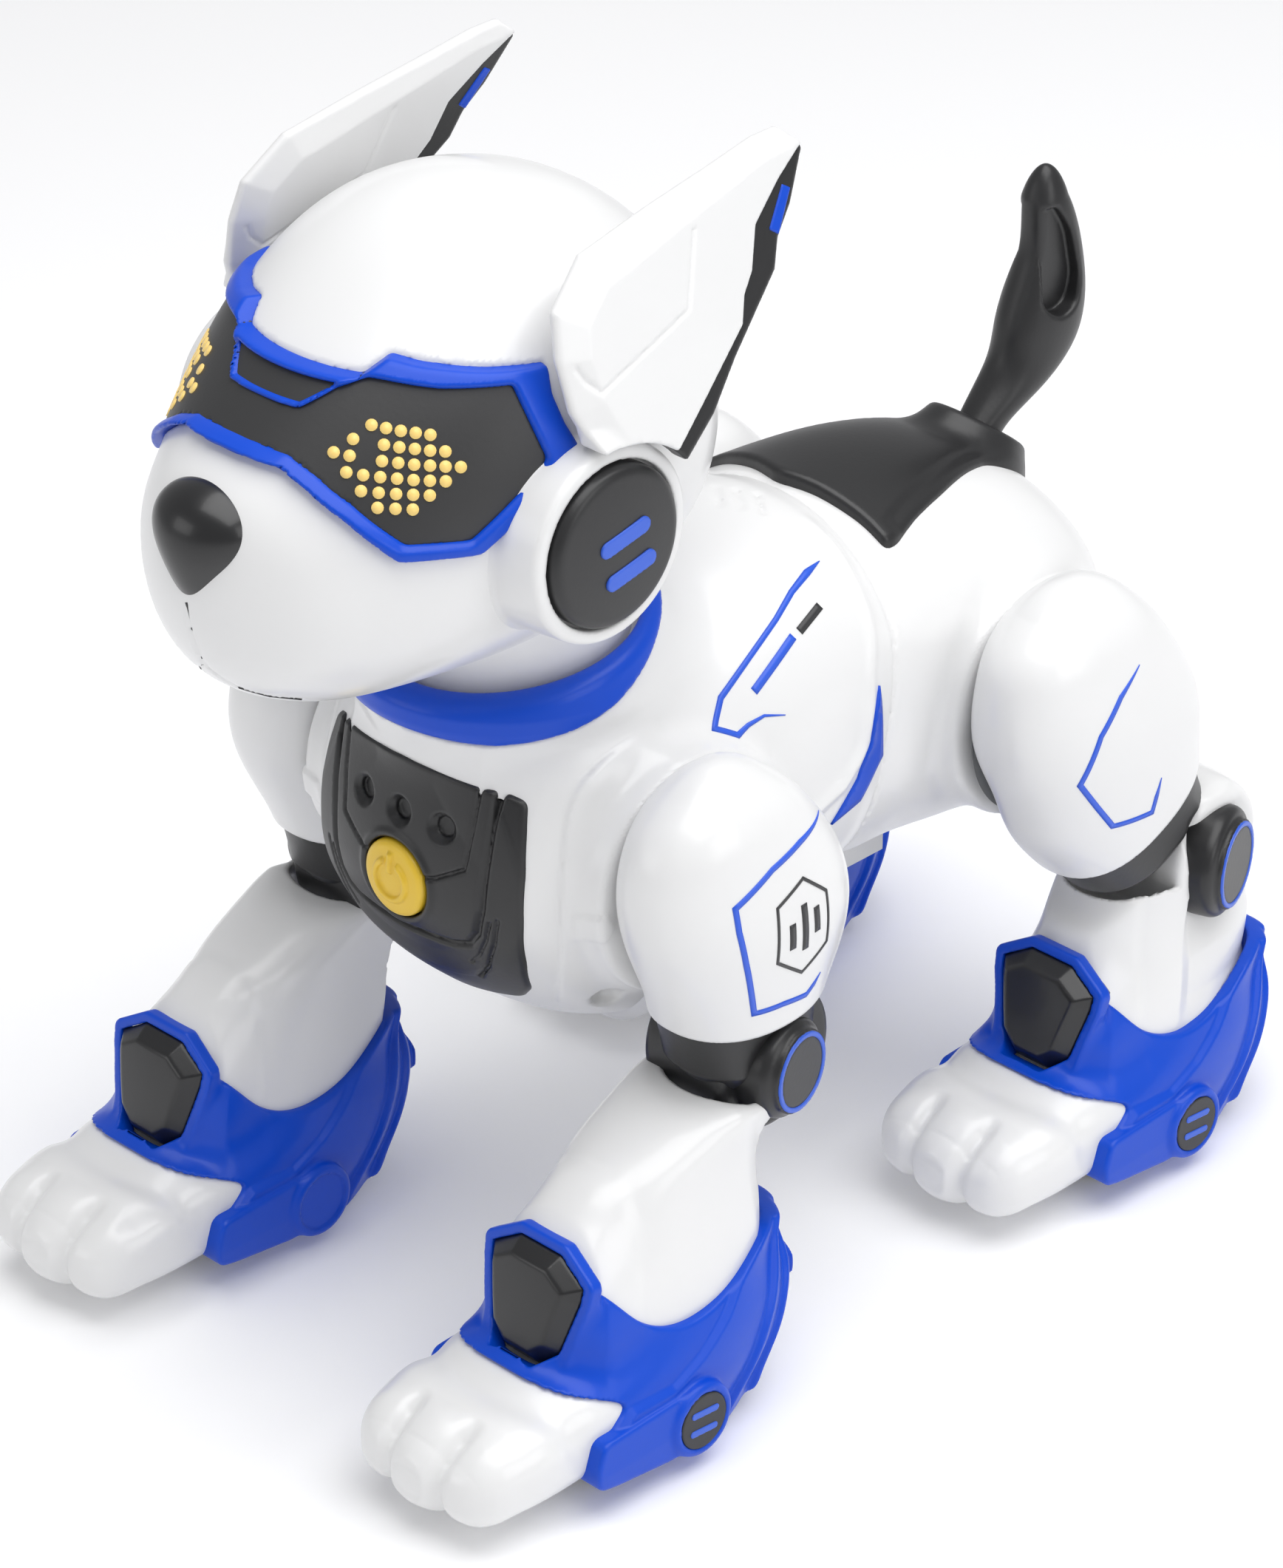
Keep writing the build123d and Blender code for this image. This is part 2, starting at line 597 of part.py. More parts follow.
def make_knee_hub(leg):
    """Drum with a slot for the thigh's clip, the pin across it and the outer disc."""
    knee, radius = leg["knee"], leg["drum_r"]
    dome_y, dome_z = leg["dome"]
    slope = math.atan2(dome_y - knee[0], dome_z - knee[1])
    wedge = math.radians(SLOT_WEDGE)
    far = 2 * radius
    corners = [(knee[0] + far * math.sin(slope + a), knee[1] + far * math.cos(slope + a)) for a in (-wedge, wedge)]
    with BuildPart() as hub:
        with Locations(on_side(DRUM_X[0], *knee)):
            Cylinder(radius, DRUM_X[1] - DRUM_X[0], align=MIN_Z)
        fillet(hub.faces().filter_by(GeomType.PLANE).edges(), 1)
        with BuildSketch(side_plane(CLIP_X[0])):
            Polygon(knee, *corners, align=None)
            with Locations(knee):
                Circle(SLOT_R)
        extrude(amount=CLIP_X[1] - CLIP_X[0], mode=Mode.SUBTRACT)
        with Locations(on_side(DRUM_X[0] + 2, *knee)):
            Cylinder(KNEE_PIN_R, DRUM_X[1] - DRUM_X[0] - 2, align=MIN_Z)
        with Locations(on_side(DRUM_X[1], *knee)):
            Cylinder(DISC_R, 6.5, align=MIN_Z)
        fillet(hub.faces().sort_by(Axis.X)[-1].edges(), 1)
        # groove for the blue ring
        with BuildSketch(side_plane(DRUM_X[1] + 6.5)):
            with Locations(knee):
                Circle(8.8)
                Circle(8.0, mode=Mode.SUBTRACT)
        extrude(amount=-0.6, mode=Mode.SUBTRACT)
    return hub.part


def shank_outline(leg, grow=0.0):
    """Side view of the shank: a tapered bar from the knee down to the ankle."""
    foot = (leg["ankle"][0] + SHANK_FOOT[0], SHANK_FOOT[1])
    with BuildSketch(side_plane(SHANK_X[0] - grow)) as bar:
        with Locations(leg["knee"]):
            Circle(SHANK_KNEE_R + grow)
        with Locations(foot):
            Circle(SHANK_FOOT_R + grow)
        make_hull()
    return bar.sketch


def make_shank(leg):
    with BuildPart() as shank:
        extrude(shank_outline(leg), amount=SHANK_X[1] - SHANK_X[0])
        fillet(shank.faces().filter_by(Axis.X).edges(), 5)
        with Locations(on_side(20, *leg["knee"])):
            Cylinder(leg["drum_r"] + SEAT, 80, align=MIN_Z, mode=Mode.SUBTRACT)
        loft(paw_faces(leg, SEAT), mode=Mode.SUBTRACT)
        with Locations(pad_seat(leg)):
            Box(60, 60, 40, align=MIN_Z, mode=Mode.SUBTRACT)
    return shank.part


def paw_faces(leg, grow=0.0):
    """Rounded cross sections of the paw from toe to heel, each pushed outwards by grow."""
    faces = []
    for dy, half, top, low in PAW_RIBS:
        middle = (LEG_X, leg["ankle"][0] + dy, (top + low) / 2)
        high = (top - low) / 2
        with BuildSketch(Plane(origin=middle, x_dir=(1, 0, 0), z_dir=(0, -1, 0))) as rib:
            RectangleRounded(2 * (half + grow), 2 * (high + grow), PAW_ROUND * min(half, high) + grow)
        faces.append(rib.sketch)
    return faces


def cut_wheel_well(leg):
    """Cuts room for the wheel, open below, and the axle bore out of the part being built."""
    wheel = (leg["ankle"][0] + WHEEL_DY, WHEEL_R)
    with BuildSketch(side_plane(WHEEL_X[0] - SWING)) as well:
        with Locations(wheel):
            Circle(WHEEL_R + 0.8)
            Rectangle(2 * WHEEL_R + 1.6, 2 * WHEEL_R, align=(Align.CENTER, Align.MAX))
    extrude(well.sketch, amount=WHEEL_X[1] - WHEEL_X[0] + 2 * SWING, mode=Mode.SUBTRACT)
    with Locations(on_side(AXLE_X[0] - 0.3, *wheel)):
        Cylinder(AXLE_R + RUN, AXLE_X[1] - AXLE_X[0] + 0.6, align=MIN_Z, mode=Mode.SUBTRACT)


def make_paw(leg):
    ankle_y = leg["ankle"][0]
    with BuildPart() as paw:
        loft(paw_faces(leg))
        # two grooves part the three toes
        for dx in (-8, 8):
            with Locations((LEG_X + dx, ankle_y - 38, 17)):
                Box(1.6, 14, 30, mode=Mode.SUBTRACT)
        cut_wheel_well(leg)
        # seat of the ankle pad
        with Locations(pad_seat(leg)):
            Cylinder(PAD_R + 0.2, 30, align=MIN_Z, mode=Mode.SUBTRACT)
    return paw.part


def make_wheel(leg):
    wheel = (leg["ankle"][0] + WHEEL_DY, WHEEL_R)
    with BuildPart() as roller:
        with Locations(on_side(WHEEL_X[0], *wheel)):
            Cylinder(WHEEL_R, WHEEL_X[1] - WHEEL_X[0], align=MIN_Z)
        fillet(roller.edges(), 1)
        with Locations(on_side(AXLE_X[0], *wheel)):
            Cylinder(AXLE_R, AXLE_X[1] - AXLE_X[0], align=MIN_Z)
    return roller.part


def pad_seat(leg):
    """Back of the ankle pad, facing forwards and a little upwards."""
    return Location((LEG_X, leg["ankle"][0] + 2, PAD_Z), (90 - PAD_TILT, 0, 0))


def make_ankle_pad(leg):
    with BuildPart() as pad:
        with BuildSketch(Plane(pad_seat(leg))):
            RegularPolygon(PAD_R, 6, rotation=30)
        extrude(amount=5, taper=14)
        loft(paw_faces(leg, SEAT), mode=Mode.SUBTRACT)
    return pad.part


def make_ankle_guard(leg):
    """Saddle round the ankle: a side plate with boss and arm on each side, joined over the instep."""
    ankle_y = leg["ankle"][0]
    boss = (ankle_y + GUARD_BOSS[0], GUARD_BOSS[1])
    with BuildPart() as guard:
        with BuildSketch(side_plane(LEG_X - 24.5)):
            with Locations(boss):
                Circle(GUARD_BOSS_R)
            with Locations((ankle_y - 2, 10)):
                Circle(5)
            with Locations((ankle_y + 22, 38)):
                Circle(6)
            make_hull()
        extrude(amount=49)
        with BuildSketch(side_plane(SHANK_X[0] - 3)):
            Polygon((ankle_y + 3, 30), (ankle_y + 4, 47), (ankle_y + 20, 53), (ankle_y + 33, 40),
                    (ankle_y + 32, 30), align=None)
            fillet(vertices(), 3)
        extrude(amount=SHANK_X[1] - SHANK_X[0] + 6)
        extrude(shank_outline(leg, SEAT), amount=SHANK_X[1] - SHANK_X[0] + 2 * SEAT, mode=Mode.SUBTRACT)
        loft(paw_faces(leg, SEAT), mode=Mode.SUBTRACT)
        with Locations(pad_seat(leg)):
            Cylinder(PAD_R + 0.1, 30, align=MIN_Z, mode=Mode.SUBTRACT)
        cut_wheel_well(leg)
    return guard.part


def make_legs():
    makers = {
        "thigh_shell": make_thigh_shell,
        "hip_hub": make_hip_hub,
        "knee_hub": make_knee_hub,
        "shank": make_shank,
        "paw": make_paw,
        "ankle_guard": make_ankle_guard,
        "ankle_pad": make_ankle_pad,
        "wheel": make_wheel,
    }
    for end, leg in LEGS.items():
        for piece, make in makers.items():
            part = make(leg)
            save(part, piece + "_" + end + "_left")
            save(mirrored(part), piece + "_" + end + "_right")


make_torso_shells()
make_shell_screws()
make_battery_door()
make_battery_pack()
make_control_board()
make_speaker()
make_gearmotors()
make_chest_panel()
make_power_button()
make_saddle_cover()
make_tail()
make_waist_trims()
make_neck_collar()
make_head_shells()
make_visor_frame()
make_visor_lens()
make_nose()
make_eye_led_board()
make_ear_pods()
make_ear_discs()
make_ears()
make_neck_post()
make_legs()
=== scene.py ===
import math
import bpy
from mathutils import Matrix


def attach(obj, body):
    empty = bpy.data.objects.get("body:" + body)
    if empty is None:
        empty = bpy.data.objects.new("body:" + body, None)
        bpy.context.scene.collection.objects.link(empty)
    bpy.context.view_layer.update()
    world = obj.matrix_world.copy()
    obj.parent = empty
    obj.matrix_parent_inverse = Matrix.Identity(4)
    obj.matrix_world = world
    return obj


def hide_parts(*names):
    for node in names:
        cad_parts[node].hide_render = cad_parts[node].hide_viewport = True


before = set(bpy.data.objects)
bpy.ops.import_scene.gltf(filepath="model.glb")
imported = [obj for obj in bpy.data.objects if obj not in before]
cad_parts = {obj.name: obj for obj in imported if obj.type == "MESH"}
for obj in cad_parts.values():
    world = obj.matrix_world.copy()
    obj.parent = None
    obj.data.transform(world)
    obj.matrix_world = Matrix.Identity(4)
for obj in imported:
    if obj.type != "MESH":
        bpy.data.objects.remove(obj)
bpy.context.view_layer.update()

from concurrent.futures import ThreadPoolExecutor

import bpy
import numpy as np
from mathutils import Vector
from mathutils.geometry import delaunay_2d_cdt

MM = 0.001
LEFT, RIGHT = 1, -1

# ---------------------------------------------------------------------------------------
# Distance-field modelling. Points are rows of x, y, z in millimetres, and every field is
# negative inside the plastic. The dog faces -Y, its left side is +X.
# ---------------------------------------------------------------------------------------


def smin(a, b, k):
    """Union with a fillet of about k."""
    h = np.clip(0.5 + 0.5 * (b - a) / k, 0.0, 1.0)
    return b + (a - b) * h - k * h * (1.0 - h)


def smax(a, b, k):
    """Intersection with an edge rounded by about k."""
    return -smin(-a, -b, k)


def spline(knots):
    """Natural cubic spline through (position, value) knots, straight beyond both ends."""
    x = np.array([k[0] for k in knots], float)
    y = np.array([k[1] for k in knots], float)
    n = len(x)
    h = np.diff(x)
    m = np.eye(n)
    r = np.zeros(n)
    for i in range(1, n - 1):
        m[i, i - 1:i + 2] = h[i - 1], 2 * (h[i - 1] + h[i]), h[i]
        r[i] = 6 * ((y[i + 1] - y[i]) / h[i] - (y[i] - y[i - 1]) / h[i - 1])
    c = np.linalg.solve(m, r)
    t = np.linspace(x[0], x[-1], 600)
    i = np.clip(np.searchsorted(x, t, side="right") - 1, 0, n - 2)
    a, b = (x[i + 1] - t) / h[i], (t - x[i]) / h[i]
    v = a * y[i] + b * y[i + 1] + ((a ** 3 - a) * c[i] + (b ** 3 - b) * c[i + 1]) * h[i] ** 2 / 6
    s0, s1 = (v[1] - v[0]) / (t[1] - t[0]), (v[-1] - v[-2]) / (t[-1] - t[-2])

    def at(q):
        out = np.interp(q, t, v)
        return out + np.minimum(q - t[0], 0) * s0 + np.maximum(q - t[-1], 0) * s1
    return at


def unit_gradient(f, p, h=0.02):
    """Gradient of a field by central differences."""
    g = np.empty_like(p)
    for axis in range(3):
        step = np.zeros(3)
        step[axis] = h
        g[:, axis] = (f(p + step) - f(p - step)) / (2 * h)
    return g


def as_distance(q):
    """Turns an implicit function into an approximate distance."""
    def f(p):
        h = 0.05
        v = q(p)
        g = np.zeros(len(p))
        for axis in range(3):
            step = np.zeros(3)
            step[axis] = h
            g += ((q(p + step) - v) / h) ** 2
        # far from the surface a steep slope says nothing about the distance
        return v / np.clip(np.sqrt(g), 1e-3, 1 + 20 / (np.abs(v) + 0.5))
    return f


def lofted(along, ribs, power=2.0, ends=None):
    """Closed body through oval ribs. along 1: (y, half x, top z, bottom z); along 2: (z, mid x, mid y, half x, half y)."""
    if along == 1:
        rows = [(y, hx, (t - b) / 2, 0.0, (t + b) / 2) for y, hx, t, b in ribs]
        other = 2
    else:
        rows = [(z, hx, hy, cx, cy) for z, cx, cy, hx, hy in ribs]
        other = 1
    area = spline(([(ends[0], 0.0)] if ends and ends[0] is not None else []) + [(r[0], r[1] ** 2) for r in rows]
                  + ([(ends[1], 0.0)] if ends and ends[1] is not None else []))
    ratio = spline([(r[0], r[1] / r[2]) for r in rows])
    mid_x = spline([(r[0], r[3]) for r in rows])
    mid_o = spline([(r[0], r[4]) for r in rows])
    lo, hi = rows[0][0], rows[-1][0]

    def q(p):
        s = p[:, along]
        c = np.clip(s, lo, hi)
        dx = np.abs(p[:, 0] - mid_x(c))
        do = np.abs(p[:, other] - mid_o(c)) * ratio(c)
        r = (dx ** power + do ** power) ** (1 / power)
        a = area(s)
        return np.where(a > 0, r - np.sqrt(np.maximum(a, 0)), np.sqrt(r * r + np.maximum(-a, 0)))
    return as_distance(q)


def ellipsoid(p, centre, radii):
    d = (p - np.array(centre)) / np.array(radii)
    k0 = np.linalg.norm(d, axis=1)
    k1 = np.linalg.norm(d / np.array(radii), axis=1)
    return k0 * (k0 - 1) / np.maximum(k1, 1e-6)


def capsule(p, a, b, ra, rb=None):
    """Rounded bar from a to b whose radius runs from ra to rb."""
    a, b = np.array(a, float), np.array(b, float)
    rb = ra if rb is None else rb
    t = np.clip((p - a) @ (b - a) / ((b - a) @ (b - a)), 0, 1)
    return np.linalg.norm(p - a - t[:, None] * (b - a), axis=1) - (ra + (rb - ra) * t)


def rod_x(p, y, z, r, x0, x1, edge=0.6):
    """Round bar along X with rounded rims."""
    ring = np.hypot(p[:, 1] - y, p[:, 2] - z) - r
    side = np.abs(p[:, 0] - (x0 + x1) / 2) - (x1 - x0) / 2
    return smax(ring, side, edge)


def polygon(u, v, pts):
    """Signed distance to a closed outline in a plane."""
    pts = np.array(pts, float)
    best = np.full(len(u), 1e9)
    inside = np.zeros(len(u), bool)
    for (ax, ay), (bx, by) in zip(pts, np.roll(pts, -1, axis=0)):
        ex, ey = bx - ax, by - ay
        wx, wy = u - ax, v - ay
        t = np.clip((wx * ex + wy * ey) / (ex * ex + ey * ey + 1e-12), 0, 1)
        best = np.minimum(best, (wx - ex * t) ** 2 + (wy - ey * t) ** 2)
        cross = ((ay > v) != (by > v)) & (u < (bx - ax) * (v - ay) / (by - ay + 1e-12) + ax)
        inside ^= cross
    d = np.sqrt(best)
    return np.where(inside, -d, d)


def rounded_outline(pts, radius, steps=5):
    """Outline with its corners cut by smooth curves."""
    pts = [np.array(q, float) for q in pts]
    out = []
    for i, q in enumerate(pts):
        a, b = pts[i - 1], pts[(i + 1) % len(pts)]
        la, lb = np.linalg.norm(a - q), np.linalg.norm(b - q)
        k = min(radius, la * 0.45, lb * 0.45)
        s, e = q + (a - q) / la * k, q + (b - q) / lb * k
        for j in range(steps + 1):
            t = j / steps
            out.append((1 - t) ** 2 * s + 2 * t * (1 - t) * q + t * t * e)
    return np.array(out)


def line_distance(u, v, pts):
    """Distance to an open line of points in a plane."""
    pts = np.array(pts, float)
    best = np.full(len(u), 1e9)
    for (ax, ay), (bx, by) in zip(pts[:-1], pts[1:]):
        ex, ey = bx - ax, by - ay
        t = np.clip(((u - ax) * ex + (v - ay) * ey) / (ex * ex + ey * ey + 1e-12), 0, 1)
        best = np.minimum(best, (u - ax - ex * t) ** 2 + (v - ay - ey * t) ** 2)
    return np.sqrt(best)


def groove(body, line, width, depth):
    """Cuts a soft V groove into a body along line, a distance field of the groove's course."""
    return body + depth * np.clip(1 - line / width, 0, 1) ** 1.5


def evaluate(f, points):
    """A field at many points, in parallel chunks."""
    chunks = np.array_split(points, max(1, len(points) // 20000))
    with ThreadPoolExecutor() as pool:
        return np.concatenate(list(pool.map(f, chunks)))


def surface(f, lo, hi, step):
    """Mesh of the zero surface of f inside a box, by surface nets on a grid that is only filled near the surface."""
    lo = np.array(lo, float)
    coarse = 16
    count = np.ceil((np.array(hi, float) - lo) / (step * coarse)).astype(int)
    grid = np.ones(count * coarse + 1, np.float32)
    blocks = np.stack(np.meshgrid(*[np.arange(c) for c in count], indexing="ij"), -1).reshape(-1, 3) * coarse
    cell = coarse
    halves = np.stack(np.meshgrid([0, 1], [0, 1], [0, 1], indexing="ij"), -1).reshape(-1, 3)
    while True:
        d = evaluate(f, lo + (blocks + cell / 2) * step)
        near = np.abs(d) < cell * step * 1.15 + 0.3
        for (i, j, k), v in zip(blocks[~near], d[~near]):
            grid[i:i + cell, j:j + cell, k:k + cell] = np.sign(v)
        blocks = blocks[near]
        if cell == 2:
            break
        cell //= 2
        blocks = (blocks[:, None, :] + halves[None] * cell).reshape(-1, 3)
    need = np.zeros(grid.shape, bool)
    for i, j, k in np.ndindex(3, 3, 3):
        need[blocks[:, 0] + i, blocks[:, 1] + j, blocks[:, 2] + k] = True
    points = np.argwhere(need)
    grid[need] = evaluate(f, lo + points * step)
    solid = grid < 0
    n = np.array(grid.shape) - 1
    mixed = np.zeros(n, bool)
    first = solid[:-1, :-1, :-1]
    for i, j, k in np.ndindex(2, 2, 2):
        mixed |= solid[i:n[0] + i, j:n[1] + j, k:n[2] + k] != first
    cells = np.argwhere(mixed)
    index = np.full(n, -1, np.int64)
    index[tuple(cells.T)] = np.arange(len(cells))
    total = np.zeros((len(cells), 3))
    hits = np.zeros(len(cells))
    for axis in range(3):
        for i, j in ((0, 0), (0, 1), (1, 0), (1, 1)):
            a = np.insert(np.array([i, j]), axis, 0)
            b = a.copy()
            b[axis] = 1
            va = grid[tuple((cells + a).T)].astype(float)
            vb = grid[tuple((cells + b).T)].astype(float)
            cross = (va < 0) != (vb < 0)
            t = np.where(cross, va / np.where(cross, va - vb, 1), 0)
            at = a + t[:, None] * (b - a)
            total += np.where(cross[:, None], at, 0)
            hits += cross
    verts = lo + (cells + total / hits[:, None]) * step
    quads = []
    for axis in range(3):
        o1, o2 = [v for v in range(3) if v != axis]
        lower = [slice(None)] * 3
        upper = [slice(None)] * 3
        lower[axis], upper[axis] = slice(0, n[axis]), slice(1, n[axis] + 1)
        change = solid[tuple(lower)] != solid[tuple(upper)]
        e = np.argwhere(change)
        e = e[(e[:, o1] > 0) & (e[:, o2] > 0) & (e[:, o1] < n[o1]) & (e[:, o2] < n[o2])]
        inside_first = solid[tuple(e.T)]
        ring = []
        for d1, d2 in ((1, 1), (0, 1), (0, 0), (1, 0)):
            c = e.copy()
            c[:, o1] -= d1
            c[:, o2] -= d2
            ring.append(index[tuple(c.T)])
        ring = np.stack(ring, 1)
        flip = inside_first if axis != 1 else ~inside_first
        ring[~flip] = ring[~flip][:, ::-1]
        quads.append(ring)
    quads = np.concatenate(quads)
    links = np.stack([np.tile(quads.ravel(), 2), np.concatenate([np.roll(quads, 1, 1).ravel(), np.roll(quads, -1, 1).ravel()])])
    degree = np.bincount(links[0], minlength=len(verts))[:, None]
    for turn in range(4):
        value = evaluate(f, verts)
        g = evaluate(lambda q: unit_gradient(f, q), verts)
        move = value[:, None] * g / np.maximum((g * g).sum(1), 0.05)[:, None]
        length = np.linalg.norm(move, axis=1)
        verts = verts - move * np.minimum(1, 0.6 * step / np.maximum(length, 1e-9))[:, None]
        if turn < 3:
            mean = np.stack([np.bincount(links[0], verts[links[1], k], len(verts)) for k in range(3)], 1) / degree
            slide = mean - verts
            g /= np.linalg.norm(g, axis=1)[:, None]
            verts = verts + 0.6 * (slide - g * (slide * g).sum(1)[:, None])
    return verts, quads


def make_mesh(name, verts, faces, material, smooth=True):
    """Blender object from millimetre vertices."""
    mesh = bpy.data.meshes.new(name)
    verts = np.asarray(verts, float) * MM
    if isinstance(faces, np.ndarray):
        mesh.vertices.add(len(verts))
        mesh.vertices.foreach_set("co", verts.ravel())
        mesh.loops.add(faces.size)
        mesh.loops.foreach_set("vertex_index", faces.ravel().astype(np.int32))
        mesh.polygons.add(len(faces))
        mesh.polygons.foreach_set("loop_start", np.arange(0, faces.size, faces.shape[1], dtype=np.int32))
        mesh.update(calc_edges=True)
        mesh.validate()
    else:
        mesh.from_pydata([tuple(v) for v in verts], [], faces)
        mesh.update()
    if smooth:
        mesh.polygons.foreach_set("use_smooth", np.ones(len(mesh.polygons), bool))
    mesh.materials.append(material)
    obj = bpy.data.objects.new(name, mesh)
    bpy.context.scene.collection.objects.link(obj)
    return obj


def place(name, verts, faces, material, body, slot, nodes=()):
    obj = make_mesh(name, verts, faces, material)
    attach(obj, body)
    if nodes:
        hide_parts(*nodes)
    return obj


def mirrored(mesh):
    """The same mesh for the dog's right side."""
    verts, faces = mesh
    flipped = verts * np.array([-1.0, 1.0, 1.0])
    if isinstance(faces, np.ndarray):
        return flipped, faces[:, ::-1].copy()
    return flipped, [tuple(reversed(f)) for f in faces]


# ---------------------------------------------------------------------------------------
# Materials: moulded plastics with fine grain, slight colour drift and uneven gloss
# ---------------------------------------------------------------------------------------
def plastic(name, colour, rough, grain=0.03, grain_scale=900.0, drift=0.03, coat=0.0, metallic=0.0, glow=None):
    mat = bpy.data.materials.new(name)
    mat.use_nodes = True
    nodes, links = mat.node_tree.nodes, mat.node_tree.links
    shader = nodes["Principled BSDF"]
    place_in = nodes.new("ShaderNodeTexCoord")
    cloud = nodes.new("ShaderNodeTexNoise")
    cloud.inputs["Scale"].default_value = 18.0
    cloud.inputs["Detail"].default_value = 3.0
    links.new(place_in.outputs["Object"], cloud.inputs["Vector"])
    ramp = nodes.new("ShaderNodeMix")
    ramp.data_type = "RGBA"
    low = [max(0.0, c * (1 - drift)) for c in colour]
    high = [min(1.0, c * (1 + drift)) for c in colour]
    ramp.inputs["A"].default_value = (*low, 1)
    ramp.inputs["B"].default_value = (*high, 1)
    links.new(cloud.outputs["Fac"], ramp.inputs["Factor"])
    links.new(ramp.outputs["Result"], shader.inputs["Base Color"])
    gloss = nodes.new("ShaderNodeMapRange")
    gloss.inputs["To Min"].default_value = rough * 0.85
    gloss.inputs["To Max"].default_value = rough * 1.15
    links.new(cloud.outputs["Fac"], gloss.inputs["Value"])
    links.new(gloss.outputs["Result"], shader.inputs["Roughness"])
    pits = nodes.new("ShaderNodeTexNoise")
    pits.inputs["Scale"].default_value = grain_scale
    pits.inputs["Detail"].default_value = 2.0
    links.new(place_in.outputs["Object"], pits.inputs["Vector"])
    bump = nodes.new("ShaderNodeBump")
    bump.inputs["Strength"].default_value = grain
    bump.inputs["Distance"].default_value = 0.0004
    links.new(pits.outputs["Fac"], bump.inputs["Height"])
    links.new(bump.outputs["Normal"], shader.inputs["Normal"])
    shader.inputs["Coat Weight"].default_value = coat
    shader.inputs["Coat Roughness"].default_value = 0.08
    shader.inputs["Metallic"].default_value = metallic
    if glow:
        shader.inputs["Emission Color"].default_value = (*glow, 1)
        shader.inputs["Emission Strength"].default_value = 0.25
    return mat


WHITE = plastic("white_plastic_look", (0.77, 0.77, 0.77), 0.30, grain=0.02, drift=0.012, coat=0.25)
BLUE = plastic("blue_plastic_look", (0.0, 0.062, 0.56), 0.36, grain=0.03, drift=0.05, coat=0.08)
BLUE.node_tree.nodes["Principled BSDF"].inputs["Specular IOR Level"].default_value = 0.3
BLACK = plastic("black_plastic_look", (0.016, 0.016, 0.017), 0.36, grain=0.05, drift=0.10)
GLOSS_BLACK = plastic("gloss_black_look", (0.010, 0.010, 0.011), 0.30, grain=0.02, drift=0.10, coat=0.15)
LENS = plastic("lens_look", (0.030, 0.030, 0.031), 0.42, grain=0.05, drift=0.08)
YELLOW = plastic("yellow_plastic_look", (0.80, 0.53, 0.03), 0.34, grain=0.03, drift=0.04, coat=0.15)
RUBBER = plastic("rubber_look", (0.012, 0.012, 0.012), 0.62, grain=0.35, grain_scale=500.0, drift=0.15)
LAMP = plastic("lamp_look", (0.72, 0.50, 0.14), 0.40, grain=0.02, drift=0.05, glow=(0.95, 0.72, 0.28))
PRINT_BLUE = plastic("print_blue_look", (0.02, 0.10, 0.66), 0.38, grain=0.02, drift=0.05)
PRINT_GREY = plastic("print_grey_look", (0.03, 0.03, 0.032), 0.40, grain=0.02, drift=0.05)
BAR_BLUE = plastic("bar_blue_look", (0.03, 0.11, 0.62), 0.35, grain=0.02, drift=0.05)
STEEL = plastic("steel_look", (0.45, 0.45, 0.46), 0.32, grain=0.10, grain_scale=700.0, drift=0.06, metallic=1.0)
BOARD = plastic("board_look", (0.02, 0.14, 0.06), 0.45, grain=0.08, drift=0.2)
GREY = plastic("grey_plastic_look", (0.16, 0.165, 0.17), 0.42, grain=0.12, drift=0.06)
WRAP = plastic("battery_wrap_look", (0.05, 0.13, 0.06), 0.35, grain=0.05, drift=0.15)

# ---------------------------------------------------------------------------------------
# Torso
# ---------------------------------------------------------------------------------------
NECK = (0.0, -42.0)
torso_loft = lofted(1, [
    (-66.0, 20.0, 124.0, 88.0), (-59.0, 31.0, 131.0, 79.0), (-46.5, 40.0, 139.0, 68.0),
    (-26.5, 42.0, 146.0, 66.0), (-1.5, 42.0, 151.0, 67.0), (23.5, 40.0, 154.0, 70.0),
    (43.5, 40.0, 155.5, 70.0), (68.5, 42.0, 153.0, 68.0), (88.5, 39.5, 143.5, 70.0),
    (103.5, 31.0, 130.0, 77.0), (112.0, 18.0, 116.0, 90.0)], power=2.4, ends=(-69.8, 115.5))


roof_height = spline([(14, 162.0), (24, 156.5), (33, 154.0), (45, 152.8), (60, 151.4), (72, 149.2), (80, 147.3), (88, 144.8),
                      (98, 140.0), (110, 131.0)])


def torso_core(p):
    """Body with the arched back behind the waist."""
    arch = (p[:, 2] - (roof_height(p[:, 1]) - p[:, 0] ** 2 / 72)) * 0.9
    return smax(torso_loft(p), arch, 5.0)


def neck_swell(p):
    """Raised neck that the head sits over; it narrows downwards in front so that it meets the chest flush."""
    r = np.hypot(p[:, 0], p[:, 1] - NECK[1])
    wall = (r - (31.5 - 0.33 * np.maximum(141 - p[:, 2], 0) - 0.25 * np.maximum(p[:, 2] - 144, 0))) * 0.95
    top = p[:, 2] - (147.5 + 0.16 * (p[:, 1] + 62))
    return smax(smax(wall, top, 3.0), 118.0 - p[:, 2], 8.0)


def chest_ball(p):
    """Rounded chest block that carries the panel; it curves in faster below the button."""
    low = np.minimum(p[:, 2] - 104.0, 0)
    ball = ellipsoid(p + np.stack([0 * low, 0 * low, 0.40 * low], 1), (0, -12.8, 104.0), (60.0, 60.0, 60.0))
    d = smax(ball, np.abs(p[:, 0]) - 33.5 - 0.10 * np.maximum(p[:, 2] - 110, 0), 5.0)
    return smax(smax(d, p[:, 2] - 134.0, 6.0), p[:, 1] + 38.0, 4.0)


